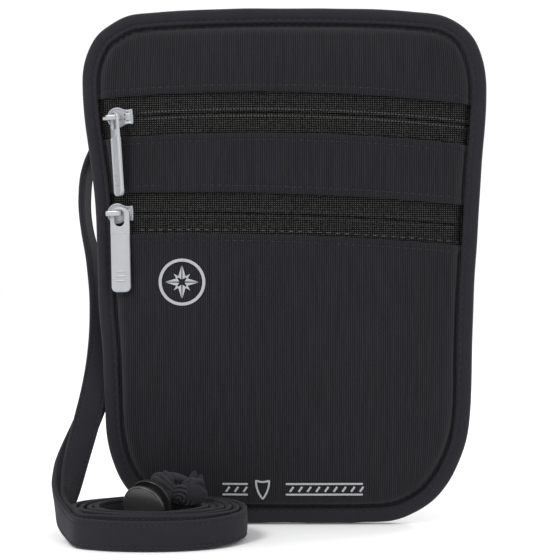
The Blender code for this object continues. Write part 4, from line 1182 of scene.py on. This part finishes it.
def upper_map(p, q, w):
    return (-1.1 + p * math.cos(YAW) - q * math.sin(YAW), BAIL_N + 0.05 + p * math.sin(YAW) + q * math.cos(YAW), w)


def lower_map(p, q, w):
    return (0.45 + p, BAIL_N - 1.6 + q, w)


pull_tab("upper_tab", UP, up_theta, upper_map, 3.45, oval_hole(0.0, 1.85, 1.35, -4.7), "upper_tab", "upper_pull_tab")
pull_tab("lower_tab", LO, lo_theta, lower_map, 3.6, oval_hole(-0.2, 1.85, 1.3, -4.8), "lower_tab", "lower_pull_tab")

# ------------------------------------------------------------------ cord lock
LOCK_U = Vector((0, 0, 1)).cross(LOCK_AXIS).normalized()
LOCK_V = LOCK_AXIS.cross(LOCK_U).normalized()


def turned(name, profile, mat, body, cad, n=96):
    U, Vv, A, C0 = (np.array(t) for t in (LOCK_U, LOCK_V, LOCK_AXIS, LOCK_C))
    mid = profile[1:-1]
    m = len(mid)
    V, uv = [], []
    for i in range(n):
        a = 2 * math.pi * i / n
        dv = U * math.cos(a) + Vv * math.sin(a)
        for r, s in mid:
            V.append(C0 + A * s + dv * r)
            uv.append((0.5 + 0.5 * math.cos(a) + 0.004 * r, 0.5 + 0.5 * math.sin(a) + 0.003 * s))
    V += [C0 + A * profile[0][1], C0 + A * profile[-1][1]]
    uv += [(0.5, 0.5), (0.5, 0.5)]
    F = []
    for i in range(n):
        j = (i + 1) % n
        for k in range(m - 1):
            F.append((i * m + k, j * m + k, j * m + k + 1, i * m + k + 1))
        F.append((n * m, j * m, i * m))
        F.append((n * m + 1, i * m + m - 1, j * m + m - 1))
    ob = piece(name, V, F, mat, body, angle=30, uv=uv, uv_name="disc")
    bm = bmesh.new()
    bm.from_mesh(ob.data)
    bmesh.ops.recalc_face_normals(bm, faces=bm.faces)
    bm.to_mesh(ob.data)
    bm.free()
    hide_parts(cad)
    return ob


R, L = LOCK_R, LOCK_GAP
lock_front = turned("lock_button_disc", [(0, 1.72), (0.25, 1.74), (0.5, 1.86), (2.0, 1.88), (3.5, 1.78), (5.0, 1.56), (6.1, 1.24), (6.95, .93),
                                 (7.28, .78), (7.42, .66), (7.55, .70), (7.75, .66), (7.92, .47), (R, .2), (R, -.45),
                                 (7.9, -.68), (7.6, -.8), (3.7, -.8), (3.7, -2.0), (3.5, -2.2), (0, -2.2)],
                    BRUSHED_SHEEN_M, "lock_button", "cord_lock_button")
lock_rear = turned("lock_rear_cup", [(0, -L - 1.1), (4.0, -L - 1.08), (6.2, -L - .9), (7.3, -L - .6), (7.85, -L - .3), (R, -L + .1),
                              (R, -L + 1.35), (7.9, -L + 1.47), (7.74, -L + 1.47), (7.6, -L + 1.35), (7.5, -L + .6), (7.1, -L + .42),
                              (5.2, -L + .42), (5.2, -3.0), (5.05, -2.9), (4.2, -2.9), (4.1, -3.0), (4.1, -L + .2), (0, -L + .2)],
                   SATIN_M, "pouch", "cord_lock_body")


s0, s1, turns = -LOCK_GAP + 0.78, -2.75, 3.2
rings = []
for i in range(97):
    t = i / 96
    a = 2 * math.pi * turns * t
    rad = np.array(LOCK_U) * math.cos(a) + np.array(LOCK_V) * math.sin(a)
    c = np.array(LOCK_C) + np.array(LOCK_AXIS) * (s0 + (s1 - s0) * t) + rad * 2.6
    rings.append([c + (rad * math.cos(b) + np.array(LOCK_AXIS) * math.sin(b)) * 0.21 for b in
                  [2 * math.pi / 8 * j for j in range(8)]])
V, F = tube_rings(np.array(rings))
spring = piece("lock_spring", V, F, STEEL_M, "pouch")
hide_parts("cord_lock_spring")
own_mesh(spring)


# ------------------------------------------------------------------ knot in the strap
def ellipsoid(c, r, rot=(0, 0, 0), n=40, m=28, fold=0.0, freq=5, axis=0):
    E = np.array(Matrix.Rotation(rot[2], 3, "Z") @ Matrix.Rotation(rot[1], 3, "Y") @ Matrix.Rotation(rot[0], 3, "X"))
    rings = []
    for i in range(1, n):
        a = math.pi * i / n
        ring = []
        for k in range(m):
            b = 2 * math.pi * k / m
            p = np.array([math.cos(a), math.sin(a) * math.cos(b), math.sin(a) * math.sin(b)])
            q = 1 + fold * math.sin(freq * b + 2.5 * p[0])
            ring.append(np.array(c) + E @ (p * np.array(r) * (1, q, q)))
        rings.append(ring)
    return tube_rings(np.array(rings))


def lobe_tube(pts, radii, depth=1.0, m=14):
    c = resample(catmull([(*p, r) for p, r in zip(pts, radii)], 8), 30)
    P, r = c[:, :3], c[:, 3]
    T = np.gradient(P, axis=0)
    T /= np.linalg.norm(T, axis=1)[:, None]
    Y = np.array([0.0, -1.0, 0.0])
    A = Y - (T @ Y)[:, None] * T
    A /= np.linalg.norm(A, axis=1)[:, None]
    B = np.cross(T, A)
    rings = []
    for i in range(len(P)):
        k = math.sin(math.pi * min(1, max(0, (i + 0.6) / len(P)))) ** 0.35
        rings.append([P[i] + A[i] * r[i] * depth * math.cos(a) * k + B[i] * r[i] * math.sin(a) * k
                      for a in [2 * math.pi * q / m for q in range(m)]])
    return tube_rings(np.array(rings))


parts = []
# pleated lobe on the left: five folds that gather towards the turn
starts = [(-45.6, -23.6, 15.4), (-46.3, -24.4, 17.2), (-46.3, -24.8, 19.0), (-45.6, -24.8, 20.9), (-44.2, -24.4, 22.3),
          (-42.3, -23.6, 22.9)]
ends = [(-39.6, -26.0, 12.9), (-38.8, -26.6, 13.5), (-38.4, -26.9, 14.3), (-38.1, -26.9, 15.3), (-38.2, -26.5, 16.5),
        (-38.6, -25.9, 17.8)]
for k, (a, b) in enumerate(zip(starts, ends)):
    a, b = np.array(a), np.array(b)
    mid = (a * 0.55 + b * 0.45) + np.array([0.3, -2.1 + 0.12 * abs(k - 2.3) ** 2, 0.5 - 0.12 * k])
    q1 = (a * 0.85 + b * 0.15) + np.array([0, -1.3 + 0.1 * abs(k - 2.3), 0.2])
    parts.append(lobe_tube([a, q1, mid, b], [0.75, 0.98, 0.95, 0.55], depth=1.35))
parts.append(ellipsoid((-42.6, -23.6, 18.2), (5.2, 2.9, 3.7), (0, math.radians(38), 0)))
# turn in the middle: nested folds round the eye of the knot
ey = (-37.4, 13.3)
for k, (r, y, th) in enumerate(((0.75, -27.3, 0.62), (1.95, -27.5, 0.58), (3.2, -27.2, 0.62), (4.5, -26.5, 0.66))):
    pts = []
    for a in np.linspace(math.radians(172 - 6 * k), math.radians(-62 - 4 * k), 9):
        pts.append((ey[0] + r * 1.08 * math.cos(a) + 0.18 * k, y + 0.9 * (1 - math.sin(max(a, -1.5)) * 0.4),
                    ey[1] + r * math.sin(a) * (1.0 if a > 0 else 0.85)))
    parts.append(lobe_tube(pts, [th * 0.8] + [th] * 7 + [th * 0.7], depth=2.3))
parts.append(ellipsoid((-37.6, -24.2, 14.2), (3.4, 2.6, 2.8)))
# smooth shoulder on the right, wrapping over
parts.append(ellipsoid((-32.3, -24.0, 15.6), (4.0, 3.9, 5.0), (0, math.radians(-18), 0), fold=0.05, freq=3))
parts.append(ellipsoid((-30.3, -22.8, 14.3), (3.1, 3.4, 3.4), fold=0.04))
for k, (x, z, r) in enumerate(((-33.9, 20.3, 1.0), (-31.2, 19.9, 1.2))):
    parts.append(lobe_tube([(x - 1.0, -25.0, z - 3.0), (x, -25.4, z - 0.6), (x + 1.6, -24.6, z - 0.9),
                            (x + 3.0, -23.6, z - 3.2)], [0.8, r, r, 0.7], depth=1.2))
# the strap passing behind from the left lobe to the cut end
parts.append(lobe_tube([(-42.5, -22.6, 21.4), (-39.5, -23.4, 20.9), (-36.0, -23.4, 19.9), (-33.0, -22.8, 19.3)],
                       [1.5, 1.6, 1.5, 1.2], depth=1.4))
parts.append(lobe_tube([(-36.6, -23.0, 17.5), (-34.6, -24.0, 18.6), (-32.4, -24.0, 19.0), (-30.2, -23.2, 18.6)],
                       [1.4, 1.7, 1.7, 1.3], depth=1.2))
# short cut end standing up
parts.append(lobe_tube([(-33.0, -22.4, 18.6), (-32.3, -22.4, 20.6), (-31.9, -22.3, 22.2), (-31.7, -22.2, 22.9)],
                       [1.6, 1.5, 1.0, 0.55], depth=0.45))
parts.append(lobe_tube([(-30.6, -21.8, 18.0), (-29.9, -21.8, 19.9), (-29.6, -21.7, 21.4)], [1.5, 1.4, 0.8], depth=0.45))
# neck of the knot, from the cord lock
_lk = np.array(LOCK_C) - np.array(LOCK_AXIS) * 3.6
parts.append(lobe_tube([_lk + (3.6, 1.2, 0.9), _lk + (5.6, 2.6, 2.2), (-40.6, -24.6, 15.6), (-38.4, -24.0, 15.2)],
                       [1.9, 2.0, 2.1, 2.0], depth=1.2))
V, F = join_meshes(parts)
V[:, 2] = np.maximum(V[:, 2], 11.2)
knot = piece("strap_knot", V, F, KNOT_LIT_M, "pouch")
rm = knot.modifiers.new("fuse", "REMESH")
rm.mode = "VOXEL"
rm.voxel_size = 0.2 * MM
sm = knot.modifiers.new("soften", "SMOOTH")
sm.factor, sm.iterations = 0.5, 1
dg = bpy.context.evaluated_depsgraph_get()
fused = bpy.data.meshes.new_from_object(knot.evaluated_get(dg))
knot.modifiers.clear()
knot.data = fused
knot.data.shade_smooth()
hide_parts("neck_strap_knot")

# ------------------------------------------------------------------ strap ends sewn to the back
for nm, s in (("left", -1), ("right", 1)):
    cx = 52.0 * s
    outline = []
    hw, z0, z1, c = 5.0, 165.0, 181.0, 0.9
    for px, pz, a0 in ((cx + hw - c, z0 + c, -90), (cx + hw - c, z1 - c, 0), (cx - hw + c, z1 - c, 90), (cx - hw + c, z0 + c, 180)):
        for k in range(6):
            a = math.radians(a0 + 18 * k)
            outline.append((px + c * math.cos(a), pz + c * math.sin(a)))
    outline = np.array(outline)
    levels = [(0.3, 6.5), (0.05, 6.56), (0.0, 6.75), (0.0, 7.35), (0.08, 7.52), (0.3, 7.6), (0.9, 7.58), (1.3, 7.46), (1.7, 7.54),
              (2.4, 7.58)]
    rr = []
    for e, y in levels:
        l = inset1(outline, e)
        rr.append(np.stack([l[:, 0], np.full(len(l), y), l[:, 1]], 1))
    V, F = tube_rings(np.array(rr))
    uv = np.stack([V[:, 0], V[:, 2]], 1)
    ob = piece("strap_end_patch_" + nm, V, F, STRAP_M, "pouch", uv=uv, angle=50)
    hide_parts("strap_end_" + nm)
    C, D, Nn = [], [], []
    lo, hi, wl, wr = z0 + 1.9, z1 - 1.9, cx - 3.2, cx + 3.2
    segs = [((wl, lo), (wr, lo)), ((wr, lo), (wr, hi)), ((wr, hi), (wl, hi)), ((wl, hi), (wl, lo)),
            ((wl, lo), (wr, hi)), ((wr, lo), (wl, hi))]
    for (xa, za), (xb, zb) in segs:
        ln = math.hypot(xb - xa, zb - za)
        for k in range(max(2, int(ln / 1.9))):
            t = (k + 0.5) / max(2, int(ln / 1.9))
            C.append(np.array([xa + (xb - xa) * t, 7.58, za + (zb - za) * t]))
            D.append(np.array([(xb - xa) / ln, 0, (zb - za) / ln]))
            Nn.append(np.array([0, 1.0, 0]))
    V, F = capsules(C, D, Nn, 0.7, 0.2)
    piece("strap_end_stitches_" + nm, V, F, THREAD_M, "pouch")


# ------------------------------------------------------------------ raised print on the ribs
def front_lift(P, lift):
    """Puts flat (x, z) points on the rib tops."""
    P = np.asarray(P, float)
    X, Z = P[:, 0], P[:, 1]
    dist, _ = edge_field(X, Z)
    d = front_d(X, Z, dist) + np.clip((dist - 6) / 2, 0, 1) * (0.28 * value_noise(X, Z, 21, 34, 11) +
                                                              0.14 * value_noise(X, Z, 8, 17, 12))
    return np.stack([X, HALF - d - 0.26 - lift, Z], 1)


def print_strip(line, width, closed=False, thick=0.1):
    """Closed thin band following a flat line; it lies on the cloth."""
    L = np.asarray(line, float)
    if closed:
        T = np.roll(L, -1, 0) - np.roll(L, 1, 0)
    else:
        T = np.gradient(L, axis=0)
    T /= np.linalg.norm(T, axis=1)[:, None]
    Nn = np.stack([-T[:, 1], T[:, 0]], 1)
    w = (np.asarray(width, float) if np.ndim(width) else np.full(len(L), float(width)))[:, None] / 2
    a, b = L + Nn * w, L - Nn * w
    rings = np.stack([front_lift(a, -0.12), front_lift(a, thick * 0.7), front_lift(a * 0.8 + b * 0.2, thick),
                      front_lift(a * 0.2 + b * 0.8, thick), front_lift(b, thick * 0.7), front_lift(b, -0.12)], 1)
    return tube_rings(rings, closed=closed)


def print_patch(poly, thick=0.1, step=0.5):
    """Closed thin filled patch from a convex flat outline."""
    P = np.asarray(poly, float)
    c = P.mean(0)
    rings = []
    for t, lift in ((1.0, -0.12), (1.0, thick * 0.7), (0.93, thick), (0.7, thick), (0.45, thick), (0.2, thick)):
        rings.append(front_lift(c + (P - c) * t, lift))
    return tube_rings(np.array(rings))


BX, BZ = -37.3, 89.3
parts = []
ang = np.linspace(0, 2 * math.pi, 96, endpoint=False)
parts.append(print_strip(np.stack([BX + 8.0 * np.cos(ang), BZ + 8.0 * np.sin(ang)], 1), 1.1, closed=True))
for k in range(4):      # long points of the compass star, each as two thin facets with a gap between
    a = math.pi / 2 * k
    ca, sa = math.cos(a), math.sin(a)
    for s in (1, -1):
        pts = [(1.0, s * 0.22), (5.9, s * 0.10), (5.9, s * 0.16), (1.75, s * 1.45)]
        pts = [(x, y) for x, y in pts]
        poly = [(BX + x * ca - y * sa, BZ + x * sa + y * ca) for x, y in pts]
        fine = []
        for i in range(4):
            p, q = np.array(poly[i]), np.array(poly[(i + 1) % 4])
            fine += [p + (q - p) * t for t in np.linspace(0, 1, 6, endpoint=False)]
        parts.append(print_patch(fine))
for k in range(4):      # short points between them
    a = math.pi / 2 * k + math.pi / 4
    ca, sa = math.cos(a), math.sin(a)
    poly = [(BX + x * ca - y * sa, BZ + x * sa + y * ca) for x, y in ((2.2, -0.62), (4.3, 0), (2.2, 0.62))]
    fine = []
    for i in range(3):
        p, q = np.array(poly[i]), np.array(poly[(i + 1) % 3])
        fine += [p + (q - p) * t for t in np.linspace(0, 1, 5, endpoint=False)]
    parts.append(print_patch(fine))
V, F = join_meshes(parts)
piece("badge_print", V, F, INK_M, "pouch", angle=40)

parts = []
cx, cz = 3.0, 13.4
for z, x0, x1 in ((cz + 2.0, 0.5, 28.7), (cz - 2.0, 0.5, 28.7), (cz + 2.0, -22.7, -13.4), (cz - 2.0, -22.7, -13.4)):
    xs = np.linspace(x0, x1, 60)
    parts.append(print_strip(np.stack([xs, np.full_like(xs, z)], 1), 0.7))
for x0 in np.arange(2.0, 28.0, 3.2):     # slanted ticks between the two lines
    xs = np.linspace(x0, x0 + 1.3, 8)
    parts.append(print_strip(np.stack([xs, cz - 0.95 + (xs - x0) * 1.46], 1), 0.75))
for x0 in np.arange(-21.4, -14.5, 3.2):
    xs = np.linspace(x0, x0 + 1.3, 8)
    parts.append(print_strip(np.stack([xs, cz - 0.95 + (xs - x0) * 1.46], 1), 0.75))
sh = []
for t in np.linspace(-1, 1, 13):
    sh.append((-8.0 + 2.4 * t, cz + 3.3 - 0.5 * (1 - t * t)))
for t in np.linspace(0, 1, 12)[1:]:
    sh.append((-8.0 + 2.4 * (1 - t ** 2.2), cz + 3.3 - 7.0 * t))
for t in np.linspace(1, 0, 12)[1:-1]:
    sh.append((-8.0 - 2.4 * (1 - t ** 2.2), cz + 3.3 - 7.0 * t))
parts.append(print_strip(resample(np.vstack([sh, sh[:1]]), 61, 2)[:-1], 0.7, closed=True))
V, F = join_meshes(parts)
piece("hem_print", V, F, INK_M, "pouch", angle=40)

# ------------------------------------------------------------------ plain inner nodes keep their own shape
for n, m in (("rear_lining", LINING_M), ("pocket_divider", LINING_M), ("upper_zip_end_stop", ENAMEL)):
    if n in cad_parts:
        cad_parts[n].data.materials.clear()
        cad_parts[n].data.materials.append(m)
for n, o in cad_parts.items():
    if "coil" in n and "zip" in n:
        o.data.materials.clear()
        o.data.materials.append(COIL_M)

# ------------------------------------------------------------------ floor, world and lights
fm, nt, p = new_mat("floor_paint")
vec = coords(nt, scale=(1, 1, 1))
n1 = node(nt, "ShaderNodeTexNoise", Scale=6.0, Detail=2.0)
nt.links.new(vec, n1.inputs["Vector"])
nt.links.new(mix_color(nt, n1.outputs["Fac"], (0.93, 0.93, 0.93), (0.945, 0.945, 0.945)), p.inputs["Base Color"])
p.inputs["Roughness"].default_value = 0.6
p.inputs["Specular IOR Level"].default_value = 0.15
me = bpy.data.meshes.new("floor")
s = 6.0
me.from_pydata([(-s, -s, -0.0004), (s, -s, -0.0004), (s, s, -0.0004), (-s, s, -0.0004)], [], [(0, 1, 2, 3)])
me.materials.append(fm)
floor = bpy.data.objects.new("floor", me)
scene.collection.objects.link(floor)

world = bpy.data.worlds.new("studio")
scene.world = world
world.use_nodes = True
bg = world.node_tree.nodes["Background"]
bg.inputs["Color"].default_value = (1, 1, 1, 1)
bg.inputs["Strength"].default_value = 1.06


def area_light(name, loc, target, size, power, spread=180):
    li = bpy.data.lights.new(name, "AREA")
    li.shape = "DISK"
    li.size, li.energy = size, power
    li.spread = math.radians(spread)
    ob = bpy.data.objects.new(name, li)
    scene.collection.objects.link(ob)
    ob.location = loc
    ob.rotation_euler = (Vector(target) - Vector(loc)).to_track_quat("-Z", "Y").to_euler()
    return ob


area_light("key", (-0.55, -0.85, 0.95), (0, 0, 0.1), 0.35, 9.0)
area_light("rim", (0.7, 0.5, 0.8), (0, 0, 0.1), 0.4, 4.0)
area_light("fill", (0.6, -1.0, 0.35), (0, 0, 0.08), 0.7, 2.0)
scene.view_settings.view_transform = "Standard"
scene.view_settings.look = "None"
